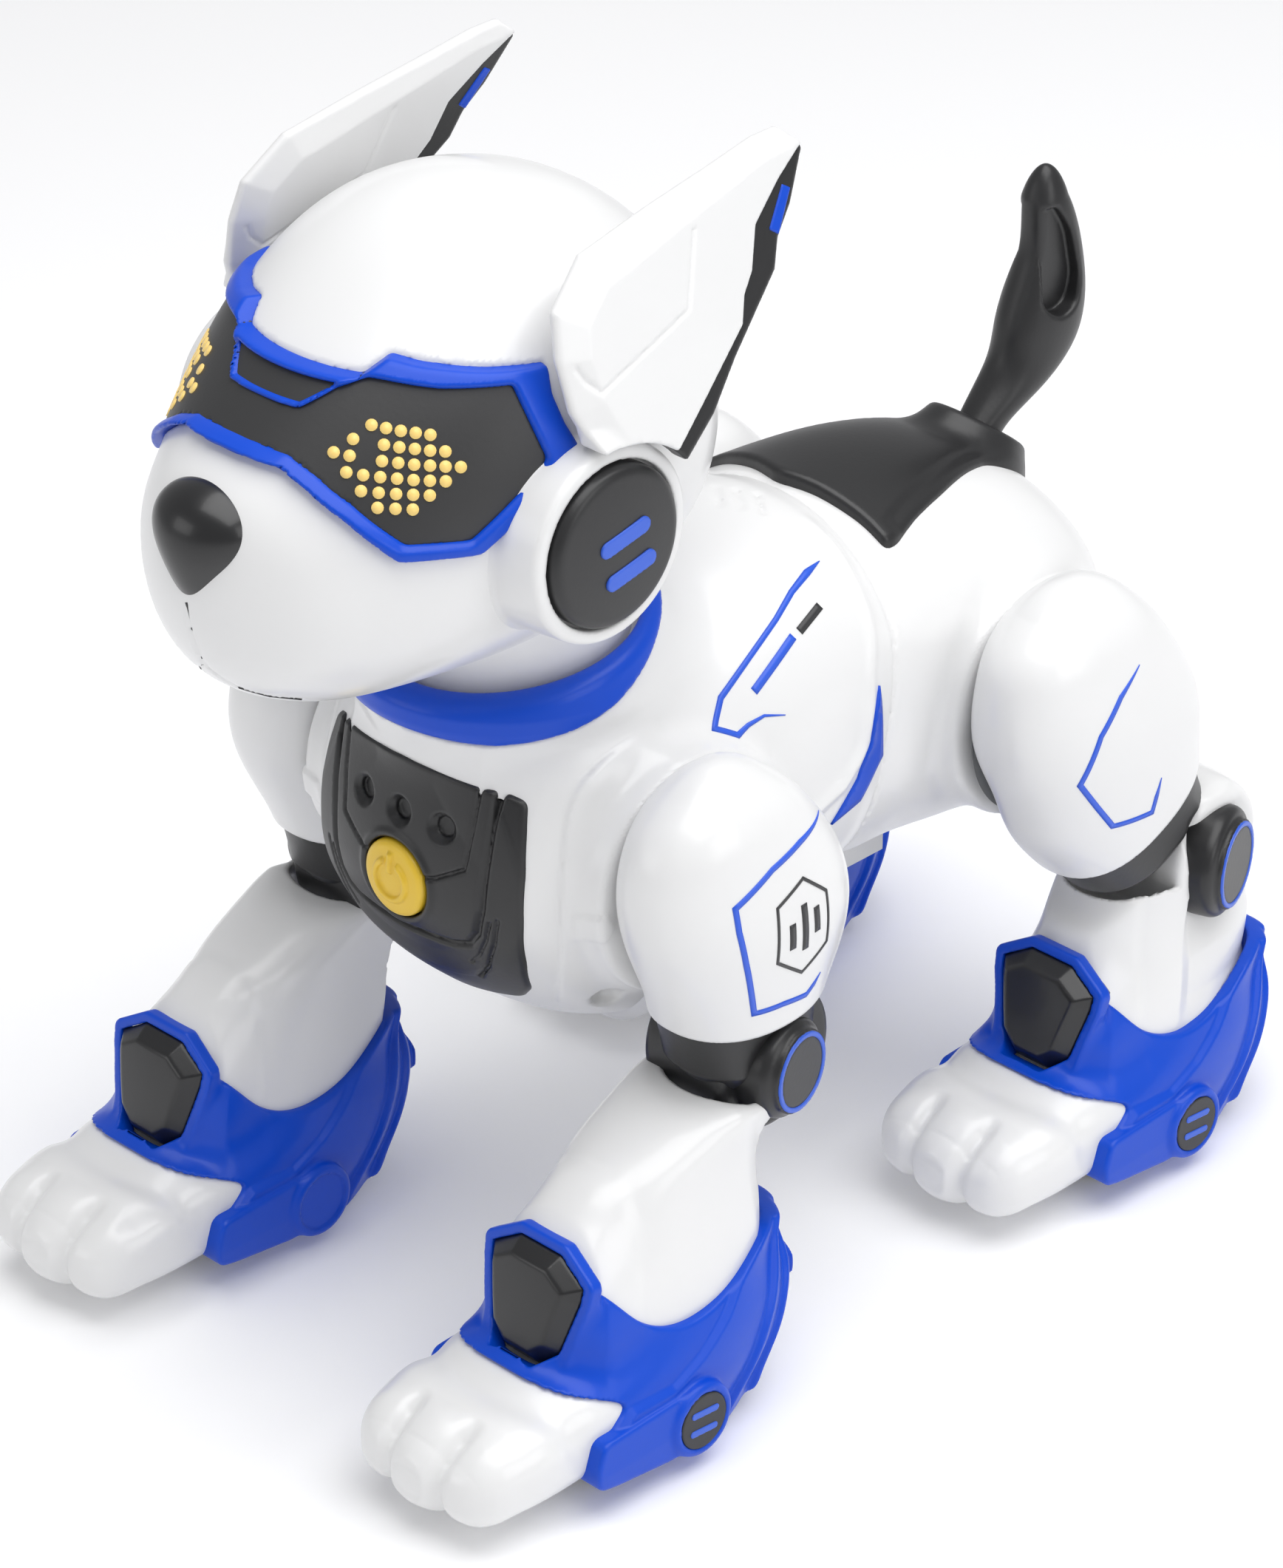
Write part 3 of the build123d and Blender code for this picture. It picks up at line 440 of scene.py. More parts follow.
def torso_base(p):
    d = smin(smin(torso_core(p), neck_swell(p), 12.0), chest_ball(p), 5.0)
    # flat pads that the thighs turn against
    for y, z, r in ((-33.0, 106.0, 25.5), (70.0, 105.0, 26.5)):
        ring = np.hypot(p[:, 1] - y, p[:, 2] - z)
        pad = smax(ring - r, np.abs(p[:, 0]) - 42.6, 2.0)
        d = smin(d, smax(pad, 30 - np.abs(p[:, 0]), 1.0), 5.0)
    return d


collar_height = spline([(-1.0, 155.0), (-0.5, 151.0), (-0.25, 147.8), (0.0, 144.6), (0.25, 141.9), (0.5, 139.9), (0.75, 138.8),
                        (1.0, 139.4)])


def collar_edge(p):
    """Height above the tilted edge where the blue collar meets the white body."""
    return p[:, 2] - collar_height(np.clip(-(p[:, 1] - NECK[1]) / 32.0, -1, 1))


def waist_line(p):
    """Course of the groove between the front and rear body shells."""
    side = np.clip((150 - p[:, 2]) / 80.0, 0, 1)
    y = 34.0 - 16.0 * side ** 1.3 + 6.0 * np.clip((118 - p[:, 2]) / 48.0, 0, 1) ** 2
    return np.abs(p[:, 1] - y)


crease_line = spline([(66, 18.0), (74, 22.7), (84, 29.3), (94, 32.6), (104, 33.4), (114, 33.3), (127, 32.6), (137, 33.6)])
RIM = [(29.5, 153), (29, 147), (26.5, 138), (22, 127), (20, 113), (12, 106.5), (3, 104.5)]
VENTS = [((1.0, 17.5), (-5.5, 22.5)), ((5.0, 19.5), (-1.5, 24.5)), ((9.0, 21.5), (2.5, 26.5))]


def torso_soft(p):
    """Body with its soft forms but without the sharp seams."""
    d = torso_base(p)
    # pinch at the waist, and the raised rear rim of the front shell
    d = d + 1.1 * np.exp(-(waist_line(p) / 5.0) ** 2)
    y, z = p[:, 1], p[:, 2]
    rim = line_distance(y, z, RIM)
    d = d - 0.7 * np.exp(-(rim / 1.5) ** 2) * np.clip((np.abs(p[:, 0]) - 12) / 8, 0, 1)
    # step between the chest and the shoulders, fading out towards the panel
    out = np.abs(p[:, 0]) - crease_line(z)
    step = np.clip((0.5 - out) / 1.0, 0, 1) * np.clip((out + 4.6) / 3.6, 0, 1)
    return d + 0.7 * step * np.clip((-36 - y) / 6, 0, 1) * np.clip((137 - z) / 5, 0, 1) * np.clip((z - 74) / 4, 0, 1)


def torso_white(p):
    d = groove(torso_soft(p), waist_line(p), 0.9, 0.9)
    # three slots on the back, an arrow-shaped tag and a drain recess on each side
    for a, b in VENTS:
        slot = np.where(p[:, 2] > 140, line_distance(p[:, 0], p[:, 1], [a, b]), 9.0)
        d = groove(d, slot, 1.0, 0.6)
    side = np.abs(p[:, 0])
    tag = np.where((p[:, 1] < -50) & (side > 32), polygon(side + 0.8 * (p[:, 1] + 58), p[:, 2], TAG), 9.0)
    d = d - 0.6 * np.clip(0.5 - tag / 0.6, 0, 1)
    hollow = np.sqrt((side - 34.2) ** 2 + (p[:, 1] + 48.3) ** 2 + (p[:, 2] - 79.6) ** 2) - 3.5
    d = smax(d, -smax(hollow, 76.2 - 0.34 * (p[:, 1] + 48.1) - p[:, 2], 0.3), 0.4)
    # seats of the collar and the chest panel
    d = smax(d, np.minimum(collar_edge(p) + 0.4, 5.0), 0.7)
    seat = np.maximum(np.maximum(panel_outline(p) + 1.8, d_front(p)), -(torso_base(p) + 3.6))
    return smax(d, -seat, 0.3)


TAG = [(34.8, 104.6), (43.8, 106.3), (45.4, 103.0), (43.7, 100.5), (34.7, 98.6)]
PANEL = rounded_outline([(0, 130.5), (14, 129.3), (22.5, 128.6), (26.4, 127.2), (27.6, 121), (28.6, 113), (28.6, 102), (27.4, 92),
                         (24.8, 83.5), (20.5, 79), (0, 74), (-20.5, 79), (-24.8, 83.5), (-27.4, 92), (-28.6, 102),
                         (-28.6, 113), (-27.6, 121), (-26.4, 127.2), (-22.5, 128.6), (-14, 129.3)], 1.5)


def panel_outline(p):
    return polygon(p[:, 0], p[:, 2], PANEL)


def d_front(p):
    """Only the front half of the body."""
    return p[:, 1] + 40.0


def chest_panel(p):
    body = torso_base(p)
    edge = panel_outline(p)
    d = smax(body - 0.7, edge, 0.8)
    # a thin lip all round, thicker inside the seat
    d = np.maximum(d, -(body + 0.6 + 2.9 * np.clip((-1.9 - edge) / 0.4, 0, 1)))
    d = np.maximum(d, p[:, 1] + 45)
    x, z = np.abs(p[:, 0]), p[:, 2]
    # long side channel, the line over the button, the curved slots below
    side = line_distance(x, z, [(22.0, 134), (21.5, 116), (20.6, 103.5), (19.2, 97.5), (16.9, 94.4), (13.3, 93.2), (-4, 92.6)])
    d = groove(d, side, 1.3, 1.4)
    brow = line_distance(x, z, [(18.6, 134), (17.8, 120), (16.8, 111.5), (10.3, 107.7), (8.5, 107.5)])
    d = groove(d, brow, 0.8, 0.9)
    for arc in ([(22.2, 101), (20.9, 96.5), (18.6, 92.1), (16.3, 89.5)], [(23.9, 102), (22.6, 96), (19.7, 89.4), (16.2, 85.2)]):
        d = groove(d, line_distance(x, z, arc), 0.7, 1.0)
    # three screw recesses with bevelled rims
    for cx in (-11.0, 0.0, 11.0):
        hole = np.hypot(p[:, 0] - cx, z - 118.5) - 2.1 - 1.2 * np.clip((body + 0.8) / 1.4, 0, 1)
        d = smax(d, -np.maximum(hole, -(body + 2.0)), 0.3)
    # well of the button and the soft ring round it
    ring = np.hypot(p[:, 0], z - 104.0)
    d = d - 0.5 * np.exp(-((ring - 9.6) / 0.8) ** 2)
    return smax(d, -(ring - 8.6), 0.4)


def power_button(p):
    ring = np.hypot(p[:, 0], p[:, 2] - 104.0)
    front = -(p[:, 1] + 74.6 - 0.012 * ring ** 2)
    d = smax(smax(ring - 8.2, front, 1.4), p[:, 1] + 67, 0.3)
    # raised sign: an open ring and a bar
    x, z = p[:, 0], p[:, 2] - 104.0
    gap = (np.abs(x) < 1.9) & (z > 0)
    sign = np.where(gap, 1.0, np.abs(ring - 4.2) - 0.42)
    bar = np.maximum(np.abs(x) - 0.42, np.abs(z - 3.9) - 2.0)
    d = d - 0.75 * np.clip(1 - np.minimum(np.maximum(sign, 0), np.maximum(bar, 0)) / 0.4, 0, 1)
    return d


def neck_collar(p):
    r = np.hypot(p[:, 0], p[:, 1] - NECK[1])
    skin = torso_base(p) - 0.9
    rim = p[:, 2] - (149.5 + 0.16 * (p[:, 1] + 62))
    d = smax(skin, rim, 0.8)
    # bevel round the inside of the ring
    d = smax(d, (p[:, 2] - (150.5 + 0.16 * (p[:, 1] + 62))) * 0.6 + (31.5 - r) * 0.8 - 2.2, 0.5)
    d = smax(d, -(torso_base(p) + 5.0), 0.5)
    d = smax(d, -(r - 26.5), 0.4)
    return smax(d, -collar_edge(p), 0.7)


def neck_sleeve(p):
    """White throat that turns with the head inside the collar."""
    r = np.hypot(p[:, 0], p[:, 1] - NECK[1])
    flare = 24.7 + 0.012 * np.maximum(p[:, 2] - 146, 0) ** 2
    d = smax(r - flare, -(p[:, 2] - 132), 1.0)
    d = smax(d, p[:, 2] - 165.0, 1.0)
    return smax(d, -(r - 20), 0.5)


SADDLE = rounded_outline([(0, 34.8), (8, 37.0), (14, 38.2), (20, 39.6), (25.6, 40.2), (25.6, 43.5), (22.7, 52), (19.5, 63.6),
                          (15.7, 75.3), (12.7, 86), (10.0, 98), (5.5, 104.5), (0, 106.5), (-5.5, 104.5), (-10.0, 98),
                          (-12.7, 86), (-15.7, 75.3), (-19.5, 63.6), (-22.7, 52), (-25.6, 43.5), (-25.6, 40.2),
                          (-20, 39.6), (-14, 38.2), (-8, 37.0)], 2.0)


def saddle_cover(p):
    u, v = p[:, 0], p[:, 1]
    edge = polygon(u, v, SADDLE)
    top = np.maximum(edge, -(p[:, 2] - 100))
    lift = 1.9 - 0.7 * np.clip((edge + 4.0) / 1.2, 0, 1) * np.clip((v - 43) / 3, 0, 1)
    d = smax(torso_core(p) - lift, top, 1.4)
    d = smax(d, -(torso_core(p) + 1.5), 0.4)
    # raised ring that the tail comes out of
    c = np.array([0, 96.0, 142.0])
    axis = np.array([0, math.sin(RING_TILT), math.cos(RING_TILT)])
    h = (p - c) @ axis
    r = np.linalg.norm((p - c - h[:, None] * axis) * np.array([1.0, 0.82, 0.82]), axis=1)
    ring = smax(smax(r - (10.8 - 0.45 * h), h - 1.8, 1.2), -h - 8.0, 0.5)
    d = smin(d, ring, 2.5)
    # opening for the whole swing of the tail
    for turn in (-30, -15, 0, 15, 30):
        d = smax(d, -(tail_body(wagged(p, turn)) - 0.7), 0.4)
    return d


def wagged(p, degrees):
    """Points turned about the axis that the tail wags on."""
    c, axis = np.array([0, 91.5, 141.0]), np.array([0, 0.34202, 0.939693])
    a = math.radians(degrees)
    q = p - c
    return c + q * math.cos(a) + np.cross(axis, q) * math.sin(a) + np.outer(q @ axis, axis) * (1 - math.cos(a))


RING_TILT = math.radians(38)


tail_body = lofted(2, [
    (135.5, 0, 91.5, 4.8, 6.6), (140, 0, 94.4, 4.8, 6.4), (144, 0, 98.6, 5.0, 6.6), (149.4, 0, 106.3, 6.3, 8.6),
    (154.5, 0, 111.9, 7.0, 10.0), (163, 0, 115.4, 7.5, 10.8), (171, 0, 117.0, 7.0, 9.3), (180, 0, 117.6, 6.1, 6.9),
    (190, 0, 115.8, 4.6, 5.0)], power=2.2, ends=(None, 197.0))


def tail(p):
    """Flat-sided tail that swells towards its top and has a D-shaped recess in each side."""
    d = tail_body(p)
    d = smax(d, 137.5 - p[:, 2], 1.0)
    u, v = p[:, 1], p[:, 2]
    recess = polygon(u, v, TAIL_RECESS)
    pocket = np.maximum(recess, 3.2 - np.abs(p[:, 0]))
    return smax(d, -pocket, 1.2)


TAIL_RECESS = rounded_outline([(111.6, 176.5), (111.6, 188), (114.3, 189.1), (118.3, 183.3), (121, 171.7), (119.3, 165.9), (114.3, 164.4),
                               (110.2, 167.4)], 3.5)

# ---------------------------------------------------------------------------------------
# Head
# ---------------------------------------------------------------------------------------
head_core = lofted(1, [
    (-121.0, 13.0, 202.0, 171.5), (-115.5, 22.0, 208.5, 164.0), (-106.0, 29.0, 216.5, 159.0),
    (-91.0, 36.3, 229.5, 156.0), (-76.5, 41.3, 240.0, 155.0), (-56.5, 44.3, 246.8, 155.0),
    (-36.5, 42.3, 244.5, 158.0), (-17.0, 33.3, 232.5, 166.0), (-8.0, 21.3, 219.0, 178.5)],
    power=2.15, ends=(-124.0, -2.5))


def round_head(p):
    """Distance round the head from its middle plane, and height."""
    return np.arctan2(p[:, 0], -(p[:, 1] + 56.5)) * 45.0, p[:, 2]


def both(half):
    """Outline symmetric about the middle plane from its left half."""
    return half + [(-u, v) for u, v in reversed(half) if u > 0]


VISOR = rounded_outline(both([(0, 225.4), (18.3, 225.4), (20.4, 226.8), (23.4, 228.6), (30, 227.8), (45.3, 226.5), (58.6, 225.9),
                              (58.0, 221.3), (59.6, 215.8), (63.2, 208.6), (53.7, 204.4), (48.8, 200.1), (41.8, 194.8),
                              (28.9, 196.0), (21.3, 204.2), (14.9, 209.4), (10.5, 211.9), (5.3, 212.3), (0, 212.5)]), 0.9)
GLASS = rounded_outline(both([(0, 219.9), (8.9, 219.9), (14.6, 223.6), (20.3, 225.6), (24, 225.4), (34.6, 224.4), (49.9, 223.9),
                              (54.9, 210.4), (54.1, 209.0), (40.0, 197.8), (29.6, 198.9), (21.8, 206.4), (15.5, 211.0),
                              (10.3, 213.4), (4, 214.0), (0, 214.1)]), 0.7)
BROW = [(-14.2, 224.2), (-8.3, 220.6), (8.3, 220.6), (14.2, 224.2)]


def behind(p):
    return p[:, 1] + 50.0


def head_white(p):
    u, z = round_head(p)
    d = head_core(p)
    seat = np.maximum(polygon(u, z, VISOR) - 0.3, p[:, 1] + 56)
    d = d + 0.7 * np.clip(-seat / 0.5, 0, 1)
    mouth = np.minimum(line_distance(p[:, 0], p[:, 2], [(0, 184), (0, 171.5)]),
                       line_distance(np.abs(p[:, 0]), p[:, 2], [(0, 171.5), (1.2, 169.0), (5, 166.0), (10, 164.5), (14.5, 163.8)]))
    mouth = np.where(p[:, 1] < -90, mouth, 9.0)
    d = groove(d, mouth, 0.75, 0.7)
    return d


def visor_frame(p):
    u, z = round_head(p)
    outer, inner = polygon(u, z, VISOR), np.minimum(polygon(u, z, GLASS), polygon(u, z, BROW))
    # high ridge along the glass, falling away outwards
    lift = 2.4 - 0.13 * np.clip(inner - 1.0, 0, 9) - 0.9 * np.clip(1 - inner / 1.0, 0, 1)
    d = smax(head_core(p) - lift, outer, 0.7)
    d = smax(d, -inner, 0.6)
    d = smax(d, -(head_core(p) + 1.0), 0.3)
    d = smax(d, behind(p), 0.5)
    pod = np.hypot(p[:, 1] - EAR[0], p[:, 2] - EAR[1]) - 18.8
    return smax(d, -pod, 0.5)


def visor_lens(p):
    u, z = round_head(p)
    inner = np.minimum(polygon(u, z, GLASS), polygon(u, z, BROW))
    d = np.maximum(head_core(p) - 0.9, inner - 0.6)
    d = np.maximum(d, behind(p) + 1)
    return np.maximum(d, -(head_core(p) + 1.2))


EAR = (-62.5, 191.5)


def nose(p):
    """Wide rounded triangle that points down."""
    core = ellipsoid(p, (0, -117.5, 198.5), (11.8, 9.0, 8.5))
    tip = ellipsoid(p, (0, -118.0, 190.5), (6.0, 6.6, 8.8))
    d = smin(core, tip, 8.0)
    return smax(d, -(head_core(p) + 1.5), 0.4)


def ear_pod(p):
    r = np.hypot(p[:, 1] - EAR[0], p[:, 2] - EAR[1])
    d = smax(r - (20.3 - 0.10 * (p[:, 0] - 44)), p[:, 0] - 49.8, 1.6)
    d = smax(d, -(head_core(p) + 1.0), 0.3)
    d = smin(d, np.maximum(head_core(p) + 0.4, r - 21.5), 2.0)
    d = smax(d, 30 - p[:, 0], 0.3)
    return smax(d, -np.maximum(r - 16.9, 47.5 - p[:, 0]), 0.4)


def ear_disc(p):
    r = np.hypot(p[:, 1] - EAR[0], p[:, 2] - EAR[1])
    face = p[:, 0] - (52.6 - 0.004 * r ** 2)
    d = smax(r - 16.3, face, 2.2)
    return smax(d, 46.0 - p[:, 0], 0.3)


EAR_LEAN = math.radians(15.5)
EAR_BASE = (48.8, 213.0)


def ear_side(p):
    """Distance outwards from the ear's middle plane, which leans towards the head."""
    return (p[:, 0] - EAR_BASE[0]) * math.cos(EAR_LEAN) + (p[:, 2] - EAR_BASE[1]) * math.sin(EAR_LEAN)


EAR_WHITE = [(-62.5, 206.0), (-67.0, 213.0), (-70.2, 220), (-71.2, 230), (-69.8, 238.5), (-60.5, 246.4), (-41, 249.8),
             (-24, 252.3), (-12.4, 254.2), (-6.5, 254.4), (-2.6, 251.0), (-10.5, 246.2), (-18.3, 240.2), (-21.4, 232.5),
             (-24.5, 229), (-26.4, 224), (-39.7, 214.4), (-52.8, 205.2), (-60, 203.0)]
EAR_DARK = [(-3.4, 251.6), (-2.4, 250.0), (-8, 241), (-12.7, 236), (-15, 230.6), (-29, 218.4), (-37, 210.3), (-46.5, 203.8),
            (-50, 203.5), (-53.4, 206), (-40.0, 215.4), (-27.4, 225), (-25.4, 230), (-22.4, 233.5), (-19.2, 241.2),
            (-11, 247.2)]
EAR_TICK = [(-9.6, 245.2), (-7.6, 244.0), (-12.8, 236.6), (-15.0, 238.2)]
EAR_PANEL = [(-34.4, 244.2), (-39.5, 231), (-64.4, 223.5), (-67, 226), (-68.2, 228.5)]


EAR_BEVEL = EAR_WHITE[:10]


def ear_shell(p):
    u, v, w = p[:, 1], p[:, 2], ear_side(p)
    edge = polygon(u, v, EAR_WHITE)
    # thick root, thin tip, and a long facet along the front and top edge
    half = 3.4 - 0.9 * np.clip((u + 50) / 45, 0, 1) + 0.8 * np.clip((225 - v) / 20, 0, 1)
    rim = line_distance(u, v, EAR_BEVEL)
    width = 6.0 - 2.5 * np.clip((u + 55) / 40, 0, 1)
    facet = half - 0.42 * np.maximum(width - rim, 0) * np.clip((v - 211) / 6, 0, 1)
    d = smax(edge, (np.abs(w) - facet) * 0.92, 0.9)
    d = groove(d, line_distance(u, v, EAR_PANEL), 0.8, 0.5)
    pod = np.hypot(u - EAR[0], v - EAR[1])
    return smax(d, -np.maximum(pod - 20.9, np.abs(p[:, 0] - 47) - 12), 0.6)


def ear_back(p):
    u, v, w = p[:, 1], p[:, 2], ear_side(p)
    edge = polygon(u, v, EAR_DARK)
    d = smax(edge, np.abs(w) - 2.1, 1.0)
    pod = np.hypot(u - EAR[0], v - EAR[1])
    return smax(d, -(pod - 20.9), 0.4)


def ear_tick(p):
    edge = polygon(p[:, 1], p[:, 2], EAR_TICK)
    return smax(edge, np.abs(ear_side(p)) - 2.35, 0.4)


# ---------------------------------------------------------------------------------------
# Legs. dy is measured backwards from the ankle.
# ---------------------------------------------------------------------------------------
LEG_X = 55.0
LEGS = {
    "front": dict(hip=(-30.5, 107.0), knee=(-29.5, 70.0), drum=17.0, ankle=-87.5,
                  thigh=[(134, 54.5, -39.5, 8.0, 11.5), (130, 55, -39.5, 11, 16.5), (120, 55.3, -38.0, 14.2, 23.4),
                         (104, 56, -34.8, 16, 26.0), (90, 55.3, -33.2, 15, 21.5), (82, 54.3, -33.0, 14.8, 18.4),
                         (72, 54.3, -32.3, 14.6, 16.4), (60, 54.3, -32.3, 14.4, 15.6)],
                  thigh_top=138.6, cuff_x=66.0, hub=(11.0, 10.6, 7.9, 69.4),
                  shank=[(76, 54.3, -32.5, 14.8, 15.8), (70, 54.3, -34.5, 15.2, 17.5), (65, 54.2, -40.5, 15.2, 21.3),
                         (60, 54, -48.0, 15.0, 24.8),
                         (54, 54, -53.4, 15.3, 26.3), (48, 54.3, -56.9, 16, 28.4), (42, 54.6, -60.0, 17, 30.2),
                         (33, 55, -63.0, 18, 31.0), (24, 55, -64.0, 18, 31.0)],
                  shank_top=84.0),
    "rear": dict(hip=(69.5, 105.0), knee=(103.5, 62.0), drum=18.5, ankle=62.5,
                 thigh=[(134, 54.5, 64.5, 9, 13), (130, 55, 64.0, 11.5, 18), (120, 55.5, 65.5, 14.5, 24.5),
                        (104, 55.5, 70.0, 16.5, 28.3), (92, 55.5, 73.5, 15.7, 26), (80, 54.5, 79.0, 15, 25),
                        (68, 54, 88.0, 14.5, 23), (60, 54, 94.0, 14, 21)],
                 thigh_top=139.0, cuff_x=68.5, hub=(19.0, 12.2, 8.9, 70.5),
                 shank=[(76, 54, 100.5, 12, 16.5), (70, 54, 98.5, 14, 21.5), (64, 54, 97.5, 14.8, 24.0),
                        (56, 54, 96.5, 15.2, 26.2), (48, 54.3, 95, 16, 28.4), (42, 54.6, 92.5, 17, 30.2),
                        (33, 55, 88.5, 18, 31.0), (24, 55, 87.0, 18, 31.0)],
                 shank_top=80.5),
}


def drum_ring(leg, p):
    return np.hypot(p[:, 1] - leg["knee"][0], p[:, 2] - leg["knee"][1])


def thigh_rim(leg, p):
    """Height above the lower rim of the thigh."""
    y, z = p[:, 1] - leg["knee"][0], p[:, 2] - leg["knee"][1]
    if leg["ankle"] < 0:
        return z - 12.0 - 0.0022 * (y + 12) ** 2
    return 0.87 * (z - 12.5) - 0.49 * (y + 32.7)


for _leg in LEGS.values():
    _leg["thigh_body"] = lofted(2, _leg["thigh"][::-1], power=2.25, ends=(None, _leg["thigh_top"]))
    _leg["shank_body"] = lofted(2, _leg["shank"][::-1], power=2.25, ends=(None, _leg["shank_top"]))


def thigh_shell(leg):
    def f(p):
        d = leg["thigh_body"](p)
        d = smax(d, 43.3 - p[:, 0], 1.5)
        return smax(d, -thigh_rim(leg, p), 1.4)
    return f


def cuff_body(leg, p, inset):
    return smax(smax(leg["thigh_body"](p) + inset, 41.6 - p[:, 0], 2.0), p[:, 0] - leg["cuff_x"], 3.0)


def lobe_drop(leg, p):
    """How much lower the rear part of the outer side of the shank lies, behind a soft crease."""
    z = p[:, 2]
    if leg["ankle"] < 0:
        back, deep = p[:, 1] + 40.5 + 0.15 * (z - 30), 0.9
    else:
        back, deep = p[:, 1] - np.minimum(82.5 + 0.27 * (z - 31), 90.0), (2.0 + 2.6 * np.clip((z - 44) / 14, 0, 1)) * np.clip((77 - z) / 9, 0, 1)
    return deep * np.clip(back / 4.5, 0, 1) * np.clip((p[:, 0] - 56) / 5.0, 0, 1) * np.clip((z - 30) / 6.0, 0, 1)


def knee_cuff(leg):
    """Black sleeve between the thigh and the shank."""
    def f(p):
        rim = thigh_rim(leg, p)
        # the hidden end tapers inwards so that the shank can swing round it
        inset = 1.2 + 0.7 * np.clip(-rim - 10.0, 0, 10)
        d = smax(smax(cuff_body(leg, p, inset) * 0.9, rim - 3.0, 1.0), -rim - 15.5, 1.5)
        return d if leg["ankle"] < 0 else smax(d + lobe_drop(leg, p), 16.8 - drum_ring(leg, p), 0.5)
    return f


def knee_hub(leg):
    y, z = leg["knee"]
    turn, radius, ring, reach = leg["hub"]
    c, s = math.cos(math.radians(turn)), math.sin(math.radians(turn))

    def f(p):
        d = rod_x(p, y, z, 15.8 if leg["ankle"] < 0 else 14.8, 40.6, 62.0, 2.0)
        across, out = (p[:, 1] - y) * c - (p[:, 0] - reach) * s, (p[:, 0] - reach) * c + (p[:, 1] - y) * s
        r = np.hypot(across, p[:, 2] - z)
        cap = smax(smax(r - radius, out + 1.4, 2.8), -out - 11.0, 0.5)
        face = smax(smax(r - ring - 1.0, out, 0.9), -out - 6.0, 0.5)
        d = smin(smin(cap, face, 0.8), d, 0.5)
        return groove(d, np.where(out > -1.2, np.abs(r - ring), 9.0), 0.8, 0.5)
    return f


def knee_ring(leg):
    y, z = leg["knee"]
    turn, radius, ring, reach = leg["hub"]
    c, s = math.cos(math.radians(turn)), math.sin(math.radians(turn))

    def f(p):
        across, out = (p[:, 1] - y) * c - (p[:, 0] - reach) * s, (p[:, 0] - reach) * c + (p[:, 1] - y) * s
        r = np.hypot(across, p[:, 2] - z)
        return smax(np.abs(r - ring) - 0.55, np.abs(out + 0.35) - 0.5, 0.2)
    return f


def shank(leg):
    front = leg["ankle"] < 0

    def f(p):
        d = leg["shank_body"](p)
        dy = p[:, 1] - leg["ankle"]
        d = smax(d, 1.6 - dy + 0.2 * (p[:, 2] - 38), 2.0)
        d = smin(d, instep(leg, p), 1.5)
        top = p[:, 2] - 67.6 if front else 0.87 * (p[:, 2] - 69.2) - 0.49 * (p[:, 1] - 70.8)
        d = smax(d, top, 2.4)
        hollow_in = cuff_body(leg, p, 0.9)
        if front:
            d = smax(d, -hollow_in, 0.6)
        else:
            ring = drum_ring(leg, p)
            d = smax(d, np.where(p[:, 2] > leg["knee"][1], ring - 16.2, -9.0), 2.0)
            d = d + lobe_drop(leg, p)
            hollow_in = smax(smax(hollow_in, 16.2 - ring, 0.5), -thigh_rim(leg, p) - 30.0, 1.0)
            d = smax(d, -hollow_in, 0.6)
            d = smin(d, rod_x(p, leg["knee"][0], leg["knee"][1], 15.9, 40.0, 63.0, 3.0), 1.5)
        d = smax(d, 22 - p[:, 2], 1.0)
        return d + lobe_drop(leg, p) if front else d
    return f


def instep(leg, p):
    """Flare that carries the ankle pad on the front of the leg."""
    u, v, w = pad_frame(leg, p)
    cone = (polygon(u, v, PAD) - 2.0 + 1.1 * w) * 0.67
    swell = leg["shank_body"](p) - 2.6 * np.clip((w + 13.0) / 9.0, 0, 1)
    return smax(smax(cone, w + 0.4, 0.6), smax(swell, -w - 13.0, 2.0), 1.5)


PAW_BODY = [(-33, 16.5, 20.5, 6.5), (-28, 19.6, 23.8, 5.0), (-20, 21.0, 26.2, 4.4), (-10, 21.2, 27.6, 4.2),
            (0, 21.0, 28.2, 4.5), (10, 21.0, 31.0, 4.5), (20, 20.8, 34.5, 4.5),
            (38, 18.6, 33.0, 8.5), (52, 12.5, 28.0, 17.0)]


def paw_core(leg):
    core = lofted(1, [(leg["ankle"] + dy, hx, t, b) for dy, hx, t, b in PAW_BODY], power=2.7,
                  ends=(leg["ankle"] - 37.4, leg["ankle"] + 60))

    def f(p):
        q = p - np.array([LEG_X, 0, 0])
        return core(q)
    return f


for _leg in LEGS.values():
    _leg["paw_core"] = paw_core(_leg)


def wheel_room(leg, p):
    """Opening round the wheel under the paw."""
    ring = np.hypot(p[:, 1] - leg["ankle"] - 4.5, p[:, 2] - 8.0)
    below = np.maximum(np.abs(p[:, 1] - leg["ankle"] - 4.5) - 8.9, p[:, 2] - 8)
    return np.maximum(np.minimum(ring - 8.9, below), np.abs(p[:, 0] - 56) - 14.8)


